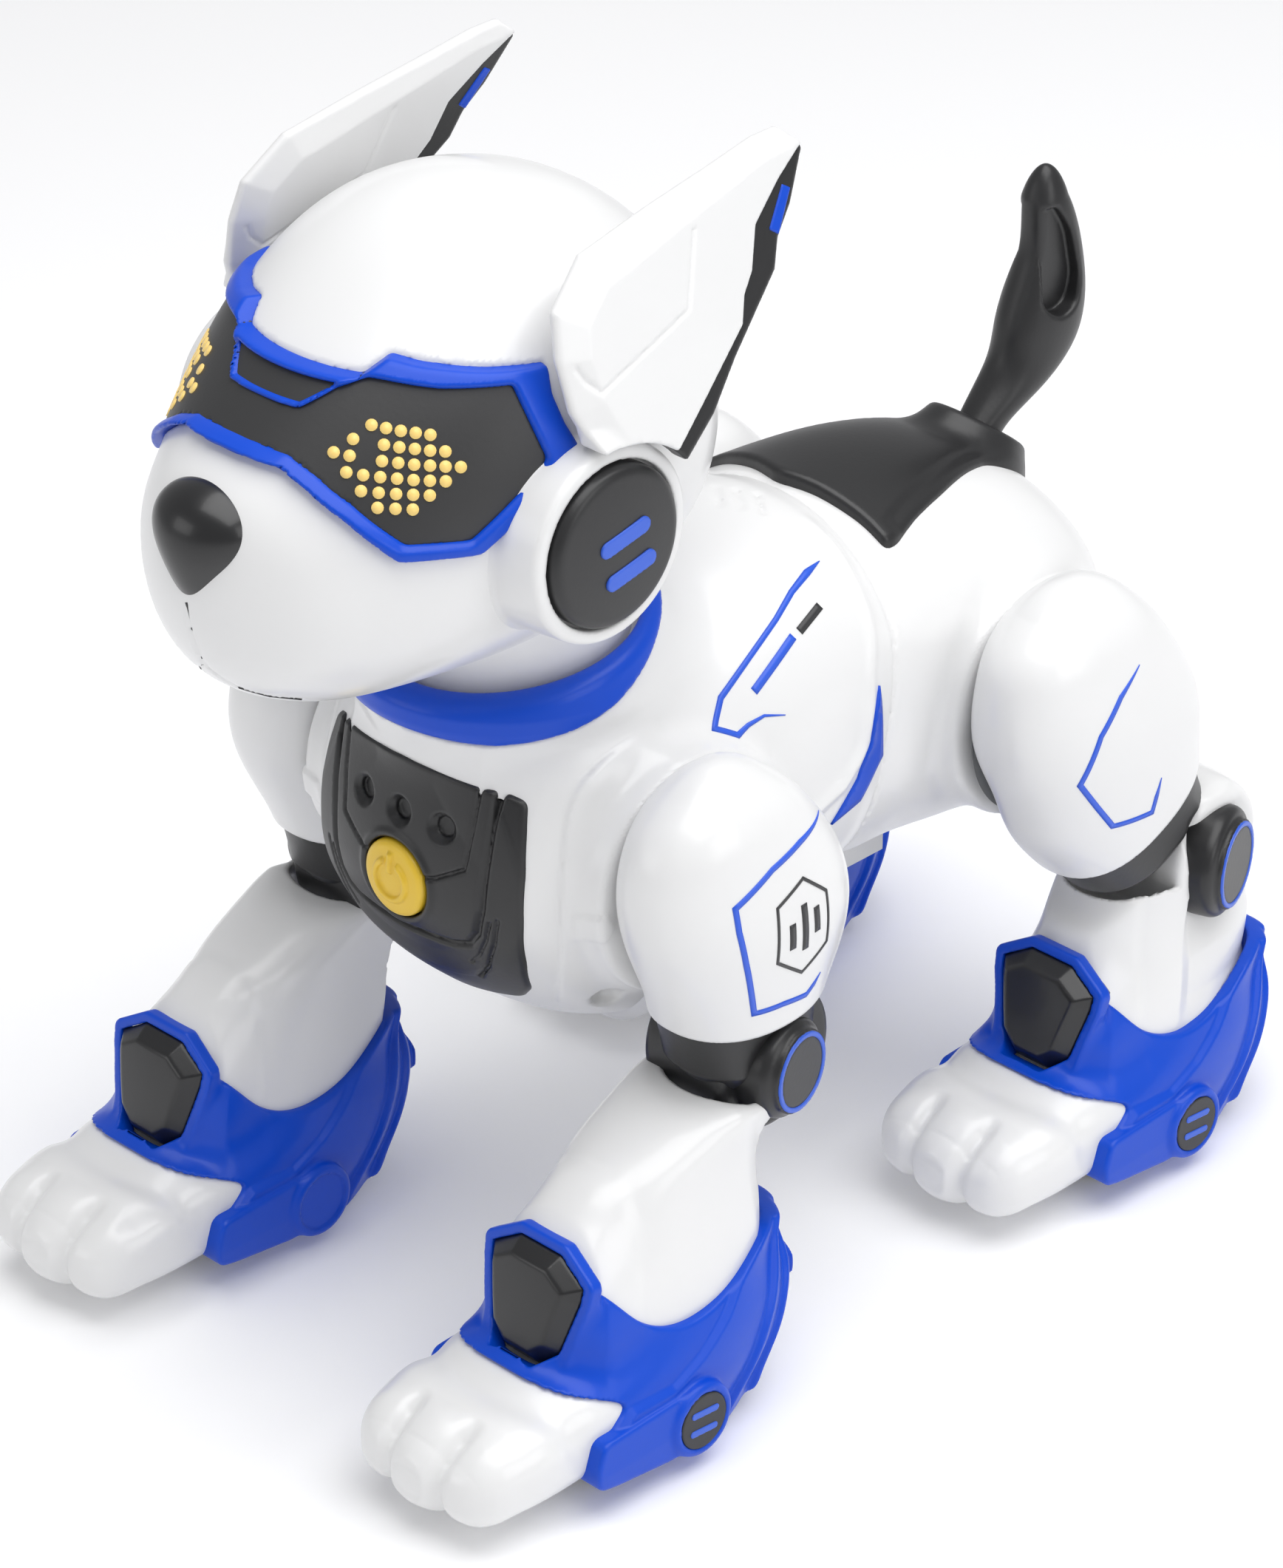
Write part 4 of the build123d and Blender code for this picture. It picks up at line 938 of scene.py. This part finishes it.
def paw(leg):
    a = leg["ankle"]

    def f(p):
        d = leg["paw_core"](p)
        u, dy, z = p[:, 0] - LEG_X, p[:, 1] - a, p[:, 2]
        # three toes: two soft furrows that fade out on the instep, full toe ends between them
        toe = np.clip((-24.0 - dy) / 4.5, 0, 1)
        furrow = np.exp(-((np.abs(u) - 7.6 - 0.05 * (dy + 20)) / 1.7) ** 2)
        d = d + toe * (2.0 * furrow - 0.9 * np.exp(-(u / 4.5) ** 2) - 0.7 * np.exp(-((np.abs(u) - 14.5) / 4.0) ** 2))
        # crease across the instep
        fold = dy + 17.0 - 0.014 * u ** 2
        d = d + 1.4 * np.exp(-(fold / 4.2) ** 2) * np.clip((z - 12) / 8, 0, 1)
        d = smax(d, 0.8 - z, 1.0)
        d = smax(smax(d, -wheel_room(leg, p), 0.4), 0.6 - pad_seat(leg, p), 0.3)
        hole = np.hypot(dy + 2.0, z - 9.5) - 1.9
        return smax(d, -np.maximum(hole, p[:, 0] - 36.0), 0.5)
    return f


PAD = [(-5.5, 12.6), (5.5, 12.6), (12.5, 8.2), (12.2, 5.0), (9.2, -7.0), (4.5, -11.5), (-4.5, -11.5), (-9.2, -7.0), (-12.2, 5.0),
       (-12.5, 8.2)]
PAD_TILT = math.radians(12)


def pad_frame(leg, p):
    """Across, up and outwards in the plane of the ankle pad."""
    y, z = p[:, 1] - leg["ankle"] + 2.0, p[:, 2] - 38.0
    return (p[:, 0] - LEG_X, y * math.sin(PAD_TILT) + z * math.cos(PAD_TILT),
            -y * math.cos(PAD_TILT) + z * math.sin(PAD_TILT))


def pad_seat(leg, p):
    u, v, w = pad_frame(leg, p)
    return np.maximum(polygon(u, v, PAD) - 0.05, np.abs(w) - 5.0)


def ankle_pad(leg):
    def f(p):
        u, v, w = pad_frame(leg, p)
        edge = polygon(u, v, PAD)
        face = 4.4 - 0.006 * u ** 2 - 0.004 * v ** 2
        d = smax(edge, w - face, 0.5)
        d = smax(d, (edge + (w - face) + 3.0) * 0.71, 0.5)
        return smax(d, -w - 5.0, 0.3)
    return f


guard_edge = spline([(-8, 47), (2, 44.5), (9, 36.5), (17.5, 31.6), (26, 31.2), (34, 32.8), (41, 35.4), (46, 37.0), (54, 37.6),
                     (62, 36.5)])


sole_line = spline([(-14, 7.0), (0, 6.0), (12, 4.5), (22, 2.0), (34, 3.0), (46, 7.0), (56, 14.0), (62, 20.0)])


def guard_front(z):
    """Forward edge of the guard against height."""
    reach = spline([(-2, 0), (3, -3.0), (8, -3.0), (18.7, -1.5), (21.5, 1.5), (24.5, -3.5), (27.0, -10.0), (29, -13.5), (40, -15.0)])
    return reach(z)


RIDGE = [(-2.0, 17.5), (3.0, 20.5), (14.0, 20.5), (22.0, 24.0), (30, 29.0), (37, 34.5), (46.0, 44.0)]
ARM = rounded_outline([(-7.0, 18.0), (-9.3, 12.0), (-8.6, 8.0), (-4.0, 7.0), (12.0, 5.0), (22, 6.0), (22, 19.0), (8.0, 18.5)], 2.0)
BOSS = (19.3, 11.5)


def ankle_guard(leg):
    a = leg["ankle"]

    def f(p):
        dy, z = p[:, 1] - a, p[:, 2]
        leg_skin = smin(leg["shank_body"](p), instep(leg, p), 1.5)
        body = smin(leg["paw_core"](p), leg_skin, 5.0)
        # plate layers: raised behind the ridge, again behind each fin line
        above = polygon(dy, z, RIDGE + [(75, 50), (75, -4), (-2, -4)])
        lift = 0.8 + 1.1 * np.clip(0.5 - above / 1.4, 0, 1)
        fin_1 = dy - (34.0 + 0.70 * (z - 10))
        fin_2 = dy - (41.5 + 0.58 * (z - 8))
        for fin in (fin_1, fin_2):
            lift = lift + 1.2 * np.clip(0.5 + fin / 1.6, 0, 1) * (1 - 0.75 * np.clip((fin - 1.5) / 5.5, 0, 1))
        d = smax(body - lift, z - guard_edge(dy), 0.8)
        d = smax(d, (guard_front(z) - dy) * 0.9, 0.8)
        d = smax(d, sole_line(dy) - z, 1.2)
        d = smax(d, dy - 61.7, 2.5)
        # rim round the pad
        u, v, w = pad_frame(leg, p)
        flare = polygon(u, v, PAD)
        rim = smax(flare - 2.3, w - 1.0, 0.8)
        rim = smax(rim, -w - 2.2, 0.6)
        d = smin(d, rim, 1.5)
        d = smax(d, -pad_seat(leg, p), 0.2)
        # arm and boss on each side
        side = np.abs(p[:, 0] - LEG_X)
        arm = smax(polygon(dy, z, ARM), side - 24.6 + 0.05 * np.abs(z - 11), 0.9)
        arm = smax(arm, 14 - side, 0.5)
        ring = np.hypot(dy - BOSS[0], z - BOSS[1])
        boss = smax(smax(ring - 8.2, side - 25.5, 1.6), 14 - side, 0.5)
        d = smin(d, arm, 0.5)
        d = smin(d, boss, 0.8)
        d = smax(d, -np.maximum(ring - 6.3, 24.9 - side), 0.2)
        # room for the leg inside and for the wheel below
        inner = np.minimum(leg["paw_core"](p), leg_skin) - 0.1
        d = smax(d, -(inner + 1.2), 0.3)
        return smax(d, -wheel_room(leg, p), 0.4)
    return f


def boss_inlay(leg):
    def f(p):
        ring = np.hypot(p[:, 1] - leg["ankle"] - BOSS[0], p[:, 2] - BOSS[1])
        return smax(ring - 6.2, np.abs(p[:, 0] - 79.9) - 0.55, 0.25)
    return f


def wheel(leg):
    y = leg["ankle"] + 4.5

    def f(p):
        d = rod_x(p, y, 8.0, 7.9, 42.1, 69.9, 1.4)
        ring = np.hypot(p[:, 1] - y, p[:, 2] - 8.0)
        turn = np.arctan2(p[:, 2] - 8.0, p[:, 1] - y)
        tread = np.abs((turn * 24 / (2 * math.pi)) % 1.0 - 0.5) * 2
        return d + 0.35 * np.clip(tread * 2 - 1, 0, 1) * (ring > 6.5)
    return f


def bars(centre, a_dir, length, gap, radius, x0, x1):
    """Pair of slanted rounded bars lying on a face that looks along X."""
    def f(p):
        u, v = p[:, 1] - centre[0], p[:, 2] - centre[1]
        along = u * a_dir[0] + v * a_dir[1]
        across = -u * a_dir[1] + v * a_dir[0]
        ends = np.maximum(np.abs(along) - length / 2, 0)
        d = np.hypot(ends, np.abs(np.abs(across) - gap / 2)) - radius
        return smax(d, np.abs(p[:, 0] - (x0 + x1) / 2) - (x1 - x0) / 2, 0.1)
    return f


# ---------------------------------------------------------------------------------------
# Build: meshes from the shapes above
# ---------------------------------------------------------------------------------------
def settle(field, points):
    """Moves points onto the surface of a field."""
    points = np.array(points, float)
    for _ in range(12):
        g = unit_gradient(field, points)
        points -= field(points)[:, None] * g / np.maximum((g * g).sum(1), 0.05)[:, None]
    return points


def normals(field, points):
    g = unit_gradient(field, points)
    return g / np.linalg.norm(g, axis=1)[:, None]


def stroke(field, line, widths, closed=False, high=0.12, low=0.25, step=0.8):
    """Thin printed line that follows a surface: closed ribbon through 3-D points with a width at each."""
    pts = [np.array(q, float) for q in line]
    if closed:
        pts.append(pts[0])
        widths = list(widths) + [widths[0]]
    rows, w = [], []
    for (a, wa), (b, wb) in zip(zip(pts[:-1], widths[:-1]), zip(pts[1:], widths[1:])):
        n = max(1, int(np.linalg.norm(b - a) / step))
        for i in range(n):
            rows.append(a + (b - a) * i / n)
            w.append(wa + (wb - wa) * i / n)
    if not closed:
        rows.append(pts[-1])
        w.append(widths[-1])
    c = settle(field, rows)
    n = normals(field, c)
    if closed:
        ahead, back = np.roll(c, -1, 0) - c, c - np.roll(c, 1, 0)
    else:
        ahead = np.vstack([c[1:] - c[:-1], c[-1:] - c[-2:-1]])
        back = np.vstack([ahead[:1], ahead[:-1]])
    ahead /= np.linalg.norm(ahead, axis=1)[:, None]
    back /= np.linalg.norm(back, axis=1)[:, None]
    along = ahead + back
    along /= np.linalg.norm(along, axis=1)[:, None]
    side = np.cross(n, along)
    side /= np.linalg.norm(side, axis=1)[:, None]
    miter = 1 / np.clip((along * ahead).sum(1), 0.55, 1)
    half = np.array(w)[:, None] / 2 * miter[:, None] * side
    left, right = settle(field, c + half), settle(field, c - half)
    verts = np.concatenate([left + n * high, right + n * high, right - n * low, left - n * low])
    m, faces = len(c), []
    for i in range(m if closed else m - 1):
        j = (i + 1) % m
        for a, b in ((0, 1), (1, 2), (2, 3), (3, 0)):
            faces.append((a * m + j, b * m + j, b * m + i, a * m + i))
    if not closed:
        faces.append((0, m, 2 * m, 3 * m))
        faces.append((4 * m - 1, 3 * m - 1, 2 * m - 1, m - 1))
    return verts, [tuple(reversed(f)) for f in faces]


def join(parts):
    """One mesh from several."""
    verts, faces, base = [], [], 0
    for v, f in parts:
        verts.append(v)
        faces += [tuple(int(i) + base for i in q) for q in f]
        base += len(v)
    return np.concatenate(verts), faces


def patch(field, outline, lift, high=0.12, low=0.3, grid=1.2):
    """Filled printed area: outline is flat points, lift turns flat points into 3-D points near the surface."""
    outline = np.array(outline, float)
    edge = []
    for a, b in zip(outline, np.roll(outline, -1, 0)):
        n = max(1, int(np.linalg.norm(b - a) / grid))
        edge += [a + (b - a) * i / n for i in range(n)]
    lo, hi = outline.min(0), outline.max(0)
    u, v = [k.ravel() for k in np.meshgrid(np.arange(lo[0], hi[0], grid), np.arange(lo[1], hi[1], grid))]
    inside = polygon(u, v, outline) < -grid * 0.5
    flat = [Vector(q) for q in edge] + [Vector(q) for q in np.stack([u, v], 1)[inside]]
    m = len(edge)
    out, _, tris, _, _, _ = delaunay_2d_cdt(flat, [(i, (i + 1) % m) for i in range(m)], [], 1, 1e-5)
    flat = np.array([tuple(q) for q in out])
    c = settle(field, lift(flat))
    n = normals(field, c)
    k = len(c)
    verts = np.concatenate([c + n * high, c - n * low])
    tri = [tuple(t) for t in tris]
    a, b, d = (c[list(t)] for t in zip(*tri)) if False else (c[[t[0] for t in tri]], c[[t[1] for t in tri]], c[[t[2] for t in tri]])
    outward = (np.cross(b - a, d - a) * n[[t[0] for t in tri]]).sum(1).sum() > 0
    if not outward:
        tri = [t[::-1] for t in tri]
    count = {}
    for t in tri:
        for e in ((t[0], t[1]), (t[1], t[2]), (t[2], t[0])):
            count[e] = 1
    faces = tri + [tuple(i + k for i in reversed(t)) for t in tri]
    for i, j in count:
        if (j, i) not in count:
            faces.append((j, i, i + k, j + k))
    return verts, faces


def disc(field, centre, radius, high=0.25, low=0.4, sides=14):
    """Small round lamp or dot lying on a surface."""
    c = settle(field, [centre])
    n = normals(field, c)[0]
    a = np.cross(n, [0, 0, 1.0])
    a /= np.linalg.norm(a)
    b = np.cross(n, a)
    t = np.arange(sides) * 2 * math.pi / sides
    ring = c + radius * (np.cos(t)[:, None] * a + np.sin(t)[:, None] * b)
    verts = np.concatenate([ring + n * high, ring - n * low])
    faces = [tuple(range(sides))[::-1], tuple(range(sides, 2 * sides))]
    for i in range(sides):
        j = (i + 1) % sides
        faces.append((i, j, j + sides, i + sides))
    return verts, faces


def cut_in_two(name_low, name_high, mesh, axis, at, material, body, nodes):
    """Splits a closed mesh with a plane and caps both halves with a sharp rim."""
    import bmesh
    halves = []
    for name, keep, node in ((name_low, -1, nodes[0]), (name_high, 1, nodes[1])):
        whole = make_mesh(name, *mesh, material)
        bm = bmesh.new()
        bm.from_mesh(whole.data)
        normal = [0.0, 0.0, 0.0]
        normal[axis] = float(keep)
        point = [0.0, 0.0, 0.0]
        point[axis] = at * MM
        geom = bm.verts[:] + bm.edges[:] + bm.faces[:]
        bmesh.ops.bisect_plane(bm, geom=geom, plane_co=point, plane_no=normal, dist=1e-4, clear_inner=True)
        rim = [e for e in bm.edges if e.is_boundary]
        before = len(bm.faces)
        bmesh.ops.triangle_fill(bm, use_beauty=True, use_dissolve=False, edges=rim, normal=[-v for v in normal])
        for face in list(bm.faces)[before:]:
            face.smooth = False
            for e in face.edges:
                if any(f.smooth for f in e.link_faces):
                    e.smooth = False
        bm.to_mesh(whole.data)
        bm.free()
        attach(whole, body)
        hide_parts(node)
        halves.append(whole)
    return halves


def both_sides(name, mesh, material, body, slot, nodes=()):
    """One piece made of a left half and its mirror image."""
    a, b = mesh, mirrored(mesh)
    return place(name, *join([a, b]), material, body, slot, nodes)


def pair(name, mesh, material, body, slot, node=None):
    """Left and right pieces. {} in name, body and node is filled with the side."""
    for side, m in (("left", mesh), ("right", mirrored(mesh))):
        place(name.format(side), *m, material, body.format(side), slot, [node.format(side)] if node else [])


# Torso
WALL = 2.4


def hollow(outer, core):
    return lambda p: np.maximum(outer(p), -(core(p) + WALL + 0.8))


white_body = surface(torso_white, (-48, -75, 62), (48, 118, 160), 0.85)
cut_in_two("torso_shell_right", "torso_shell_left", white_body, 0, 0.0, WHITE, "torso",
           ("torso_shell_right", "torso_shell_left"))
place("chest_panel", *surface(chest_panel, (-31, -78, 66), (31, -40, 134), 0.42), BLACK, "torso", "gloss_black", ["chest_panel"])
place("power_button", *surface(power_button, (-9, -77, 95), (9, -66, 113), 0.3), YELLOW, "power_button", "yellow_plastic", ["power_button"])
place("neck_collar", *surface(neck_collar, (-38, -80, 130), (38, 0, 162), 0.6), BLUE, "torso", "blue_plastic", ["neck_collar"])
place("throat", *surface(neck_sleeve, (-36, -78, 130), (36, -8, 168), 1.0), WHITE, "head", "white_plastic")
place("saddle_cover", *surface(saddle_cover, (-36, 27, 118), (36, 114, 162), 0.7), BLACK, "torso", "black_plastic", ["saddle_cover"])
place("tail", *surface(tail, (-10, 80, 135), (10, 126, 198), 0.5), BLACK, "tail", "black_plastic", ["tail"])

SIDE = lambda flat: np.stack([np.full(len(flat), 42.0), flat[:, 0], flat[:, 1]], 1)
TRIM = [(24.6, 124.5), (26.0, 107.2), (18.6, 99.8), (8.9, 98.6), (16.7, 106.3), (19.4, 112.6)]
both_sides("waist_trims", patch(torso_soft, TRIM, SIDE, high=0.5, low=1.5), BLUE, "torso", "blue_plastic", ["waist_trims"])

BODY_LINE = [(24.4, 22.3, 148.0), (25.2, 17.3, 147.1), (26.8, 11.1, 145.6), (29.3, 4.0, 143.1), (31.9, -6.6, 139.3),
             (34.1, -16.6, 135.3), (36.7, -21.2, 131.1), (38.3, -16.5, 128.3), (38.1, -13.0, 129.3), (38.2, -8.6, 129.7),
             (39.1, -3.5, 128.2)]
both_sides("body_line_print", stroke(torso_white, BODY_LINE, [0.2, 1.6, 1.3, 1.2, 1.2, 1.3, 1.3, 1.3, 1.0, 0.6, 0.2]),
           PRINT_BLUE, "torso", "blue_plastic")

SIGN_BLUE, SIGN_GREY = [(35.7, -8.9, 134.3), (32.6, 5.5, 139.9)], [(32.4, 7.5, 140.2), (30.7, 15.2, 142.4)]
both_sides("side_bar_blue_print", stroke(torso_white, SIGN_BLUE, [1.8, 1.8]), PRINT_BLUE, "torso", "blue_plastic")
both_sides("side_bar_grey_print", stroke(torso_white, SIGN_GREY, [1.8, 1.8]), PRINT_GREY, "torso", "black_plastic")

# Head
white_head = surface(head_white, (-48, -128, 152), (48, 0, 252), 0.85)
cut_in_two("head_shell_lower", "head_shell_upper", white_head, 2, 172.0, WHITE, "head",
           ("head_shell_lower", "head_shell_upper"))
place("visor_frame", *surface(visor_frame, (-50, -122, 186), (50, -48, 236), 0.55), BLUE, "head", "blue_plastic", ["visor_frame"])
place("visor_lens", *surface(visor_lens, (-50, -122, 190), (50, -48, 232), 0.7), LENS, "head", "lens", ["visor_lens"])
place("nose", *surface(nose, (-14, -128, 178), (14, -105, 210), 0.45), GLOSS_BLACK, "head", "gloss_black", ["nose"])
both_sides("ear_pods", surface(ear_pod, (28, -86, 168), (52, -39, 215), 0.6), WHITE, "head", "white_plastic", ["ear_pods"])
both_sides("ear_discs", surface(ear_disc, (44, -80, 173), (55, -45, 210), 0.5), BLACK, "head", "black_plastic", ["ear_discs"])
EAR_BARS = bars((-61.0, 190.2), (0.98, 0.20), 9.6, 7.5, 1.7, 50.5, 52.9)
both_sides("ear_disc_bars", surface(EAR_BARS, (50, -73, 181), (54, -52, 202), 0.3), BAR_BLUE, "head", "blue_plastic")



def head_point(u, z):
    """Point on the visor glass that lies at a distance round the head and a height."""
    out = np.array([math.sin(u / 45), -math.cos(u / 45), 0.0])
    reach = np.linspace(75, 20, 400)
    line = np.array([0, -56.5, z]) + reach[:, None] * out
    return line[np.argmax(visor_lens(line) < 0)]


LAMP_ROWS = [(2, 3, 4, 5, 6), (1, 3, 4, 5, 6, 7), (0, 1, 3, 4, 5, 6, 7, 8), (1, 2, 3, 4, 5, 6, 7), (2, 3, 4, 5, 6), (3, 4, 5)]
lamps = []
for row, cols in enumerate(LAMP_ROWS):
    for col in cols:
        u = 28.0 + (col - 4) * 2.65
        z = 213.0 + (2 - row) * 2.5 - 0.14 * (u - 28.0)
        lamps.append(disc(visor_lens, head_point(u, z), 1.15))
both_sides("eye_lamps", join(lamps), LAMP, "head", "yellow_plastic")

MOUTH = [[(0, -124, 184), (0, -122, 178), (0, -120, 172.5)],
         [(0, -120, 172.0), (1.2, -119, 169), (5, -117, 166), (10, -113, 164.3), (14.5, -109, 163.6)],
         [(0, -120, 172.0), (-1.2, -119, 169), (-5, -117, 166), (-10, -113, 164.3), (-14.5, -109, 163.6)]]
place("mouth_print", *join([stroke(head_white, m, [0.7] * (len(m) - 1) + [0.3]) for m in MOUTH]), PRINT_GREY, "head", "black_plastic")

# Ears
pair("ear_shell_{}", surface(ear_shell, (30, -74, 200), (56, 0, 258), 0.5), WHITE, "ear_{}", "white_plastic", "ear_shell_{}")
pair("ear_back_{}", surface(ear_back, (30, -56, 200), (56, 0, 256), 0.5), BLACK, "ear_{}", "black_plastic", "ear_back_{}")
pair("ear_tick_{}", surface(ear_tick, (34, -18, 234), (48, -5, 248), 0.3), BLUE, "ear_{}", "blue_plastic")

# Legs
FRONT_THIGH_LINE = [(62.9, -19.0, 122.5), (68.4, -30.4, 122.2), (69.5, -39.1, 120.2), (69.1, -48.9, 115.5), (69.9, -48.6, 110.4),
                    (70.5, -47.2, 103.1), (68.9, -43.1, 89.4), (70.0, -35.9, 89.0), (69.7, -29.3, 88.1), (69.8, -27.3, 89.6),
                    (70.0, -25.5, 91.6)]
REAR_THIGH_LINE = [(69.2, 69.2, 122.8), (70.3, 62.4, 118.3), (70.5, 56.5, 111.6), (68.8, 52.5, 101.3), (69.3, 57.7, 94.2),
                   (69.2, 63.0, 87.6), (70.5, 74.0, 86.9), (71.0, 74.5, 90.8), (71.5, 75.2, 95.0)]
HEX = [(72, -31.1, 115.8), (72, -24.4, 110.3), (72, -24.9, 98.9), (72, -32.2, 94.9), (72, -39.6, 100.4), (72, -39.2, 112.4)]

BADGE_BARS = [(-35.6, 102.0, 107.5), (-32.0, 100.5, 110.5), (-28.4, 103.0, 108.5)]

for end, leg in LEGS.items():
    a, (ky, kz) = leg["ankle"], leg["knee"]
    thigh = thigh_shell(leg)
    tag = end + "_{}"
    pair("thigh_shell_" + tag, surface(thigh, (40, a - 30, 52), (76, a + 98, 142), 0.7), WHITE, "thigh_" + tag,
         "white_plastic", "thigh_shell_" + tag)
    pair("knee_hub_" + tag, surface(knee_hub(leg), (39, ky - 18, kz - 18), (73, ky + 18, kz + 18), 0.5), BLACK,
         "shank_" + tag, "black_plastic", "knee_hub_" + tag)
    pair("knee_cuff_" + tag, surface(knee_cuff(leg), (39, ky - 62, 52), (73, ky + 12, 108), 0.6), BLACK,
         "thigh_" + tag, "black_plastic")
    pair("knee_ring_" + tag, surface(knee_ring(leg), (62, ky - 12, kz - 12), (72, ky + 12, kz + 12), 0.3), BAR_BLUE,
         "shank_" + tag, "blue_plastic")
    pair("shank_" + tag, surface(shank(leg), (33, a - 9, 20), (76, a + 70, 84), 0.7), WHITE, "shank_" + tag,
         "white_plastic", "shank_" + tag)
    pair("paw_" + tag, surface(paw(leg), (30, a - 42, -1), (80, a + 66, 40), 0.65), WHITE, "shank_" + tag,
         "white_plastic", "paw_" + tag)
    pair("ankle_guard_" + tag, surface(ankle_guard(leg), (28, a - 14, -1), (82, a + 68, 58), 0.5), BLUE,
         "shank_" + tag, "blue_plastic", "ankle_guard_" + tag)
    pair("ankle_pad_" + tag, surface(ankle_pad(leg), (40, a - 12, 22), (70, a + 8, 56), 0.4), GLOSS_BLACK,
         "shank_" + tag, "gloss_black", "ankle_pad_" + tag)
    pair("boss_inlay_" + tag, surface(boss_inlay(leg), (78, a + 12, 4), (81, a + 26, 20), 0.25), BLACK,
         "shank_" + tag, "black_plastic")
    boss_bars = bars((a + BOSS[0], BOSS[1]), (0.996, -0.09), 6.0, 4.1, 0.75, 79.8, 80.65)
    pair("boss_bars_" + tag, surface(boss_bars, (79.6, a + 13, 6), (80.9, a + 25, 18), 0.18), BAR_BLUE,
         "shank_" + tag, "blue_plastic")
    pair("wheel_" + tag, surface(wheel(leg), (41, a - 5, -1), (71, a + 14, 18), 0.4), RUBBER, "wheel_" + tag,
         "wheel_rubber", "wheel_" + tag)
    line = FRONT_THIGH_LINE if end == "front" else REAR_THIGH_LINE
    widths = [0.2] + [1.3] * (len(line) - 2) + [0.2]
    pair("thigh_line_print_" + tag, stroke(thigh, line, widths), PRINT_BLUE, "thigh_" + tag, "blue_plastic")
    if end == "front":
        badge = [stroke(thigh, HEX, [0.7] * 6, closed=True)] + [stroke(thigh, [(72, y, low), (72, y, high)], [1.7, 1.7])
                                                                for y, low, high in BADGE_BARS]
        pair("thigh_badge_print_" + tag, join(badge), PRINT_GREY, "thigh_" + tag, "black_plastic")

# Finishes of the inner pieces that come straight from the CAD frame
INNER = {"battery_pack": WRAP, "battery_door": WHITE, "control_board": BOARD, "speaker": BLACK, "gearmotors": GREY,
         "shell_screws": STEEL, "eye_led_board": BOARD, "neck_post": GREY}
for name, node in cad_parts.items():
    finish = INNER.get(name, GREY if name.startswith("hip_hub") else None)
    if finish is not None:
        node.data.materials.clear()
        node.data.materials.append(finish)

# ---------------------------------------------------------------------------------------
# Studio: pale floor, soft light, camera of the photograph
# ---------------------------------------------------------------------------------------
scene = bpy.context.scene


def floor_look():
    mat = bpy.data.materials.new("floor_look")
    mat.use_nodes = True
    nodes, links = mat.node_tree.nodes, mat.node_tree.links
    shader = nodes["Principled BSDF"]
    where = nodes.new("ShaderNodeTexCoord")
    cloud = nodes.new("ShaderNodeTexNoise")
    cloud.inputs["Scale"].default_value = 2.0
    links.new(where.outputs["Object"], cloud.inputs["Vector"])
    ramp = nodes.new("ShaderNodeMix")
    ramp.data_type = "RGBA"
    ramp.inputs["A"].default_value = (0.90, 0.90, 0.91, 1)
    ramp.inputs["B"].default_value = (0.93, 0.93, 0.935, 1)
    links.new(cloud.outputs["Fac"], ramp.inputs["Factor"])
    links.new(ramp.outputs["Result"], shader.inputs["Base Color"])
    shader.inputs["Roughness"].default_value = 0.55
    shader.inputs["Emission Color"].default_value = (1, 1, 1, 1)
    shader.inputs["Emission Strength"].default_value = 0.10
    return mat


floor_mesh = bpy.data.meshes.new("floor")
FLOOR = 3.0
floor_mesh.from_pydata([(-FLOOR, -FLOOR, 0), (FLOOR, -FLOOR, 0), (FLOOR, FLOOR, 0), (-FLOOR, FLOOR, 0)], [], [(0, 1, 2, 3)])
floor_mesh.materials.append(floor_look())
floor = bpy.data.objects.new("floor", floor_mesh)
scene.collection.objects.link(floor)


def soft_box(name, location, target, size, power, colour=(1, 1, 1)):
    data = bpy.data.lights.new(name, "AREA")
    data.shape = "RECTANGLE"
    data.size, data.size_y = size
    data.energy = power
    data.color = colour
    lamp = bpy.data.objects.new(name, data)
    lamp.location = location
    lamp.rotation_euler = (Vector(target) - Vector(location)).to_track_quat("-Z", "Y").to_euler()
    scene.collection.objects.link(lamp)
    return lamp


soft_box("key", (0.25, 0.05, 1.20), (0, 0, 0.05), (1.3, 1.3), 15.5)
soft_box("side", (1.1, 0.1, 0.55), (0, 0, 0.1), (0.6, 0.6), 2.2)
soft_box("front", (-0.5, -1.2, 0.5), (0, 0, 0.1), (0.7, 0.5), 1.6)

world = bpy.data.worlds.new("studio")
scene.world = world
world.use_nodes = True
world.node_tree.nodes["Background"].inputs["Color"].default_value = (0.98, 0.985, 1.0, 1)
world.node_tree.nodes["Background"].inputs["Strength"].default_value = 0.42
scene.view_settings.view_transform = "Standard"

TARGET = Vector((0.0, -0.0042, 0.09714))
AZIMUTH, ELEVATION, DISTANCE = math.radians(44.57), math.radians(29.7), 1.210
LENS_LENGTH = 36.0 * 8024 / 2121
camera_data = bpy.data.cameras.new("photo_camera")
camera_data.lens = LENS_LENGTH
camera_data.clip_start = 0.05
camera = bpy.data.objects.new("photo_camera", camera_data)
backwards = Vector((math.sin(AZIMUTH) * math.cos(ELEVATION), -math.cos(AZIMUTH) * math.cos(ELEVATION), math.sin(ELEVATION)))
camera.location = TARGET + backwards * DISTANCE
camera.rotation_euler = (-backwards).to_track_quat("-Z", "Y").to_euler()
scene.collection.objects.link(camera)
scene.camera = camera

bpy.context.view_layer.update()
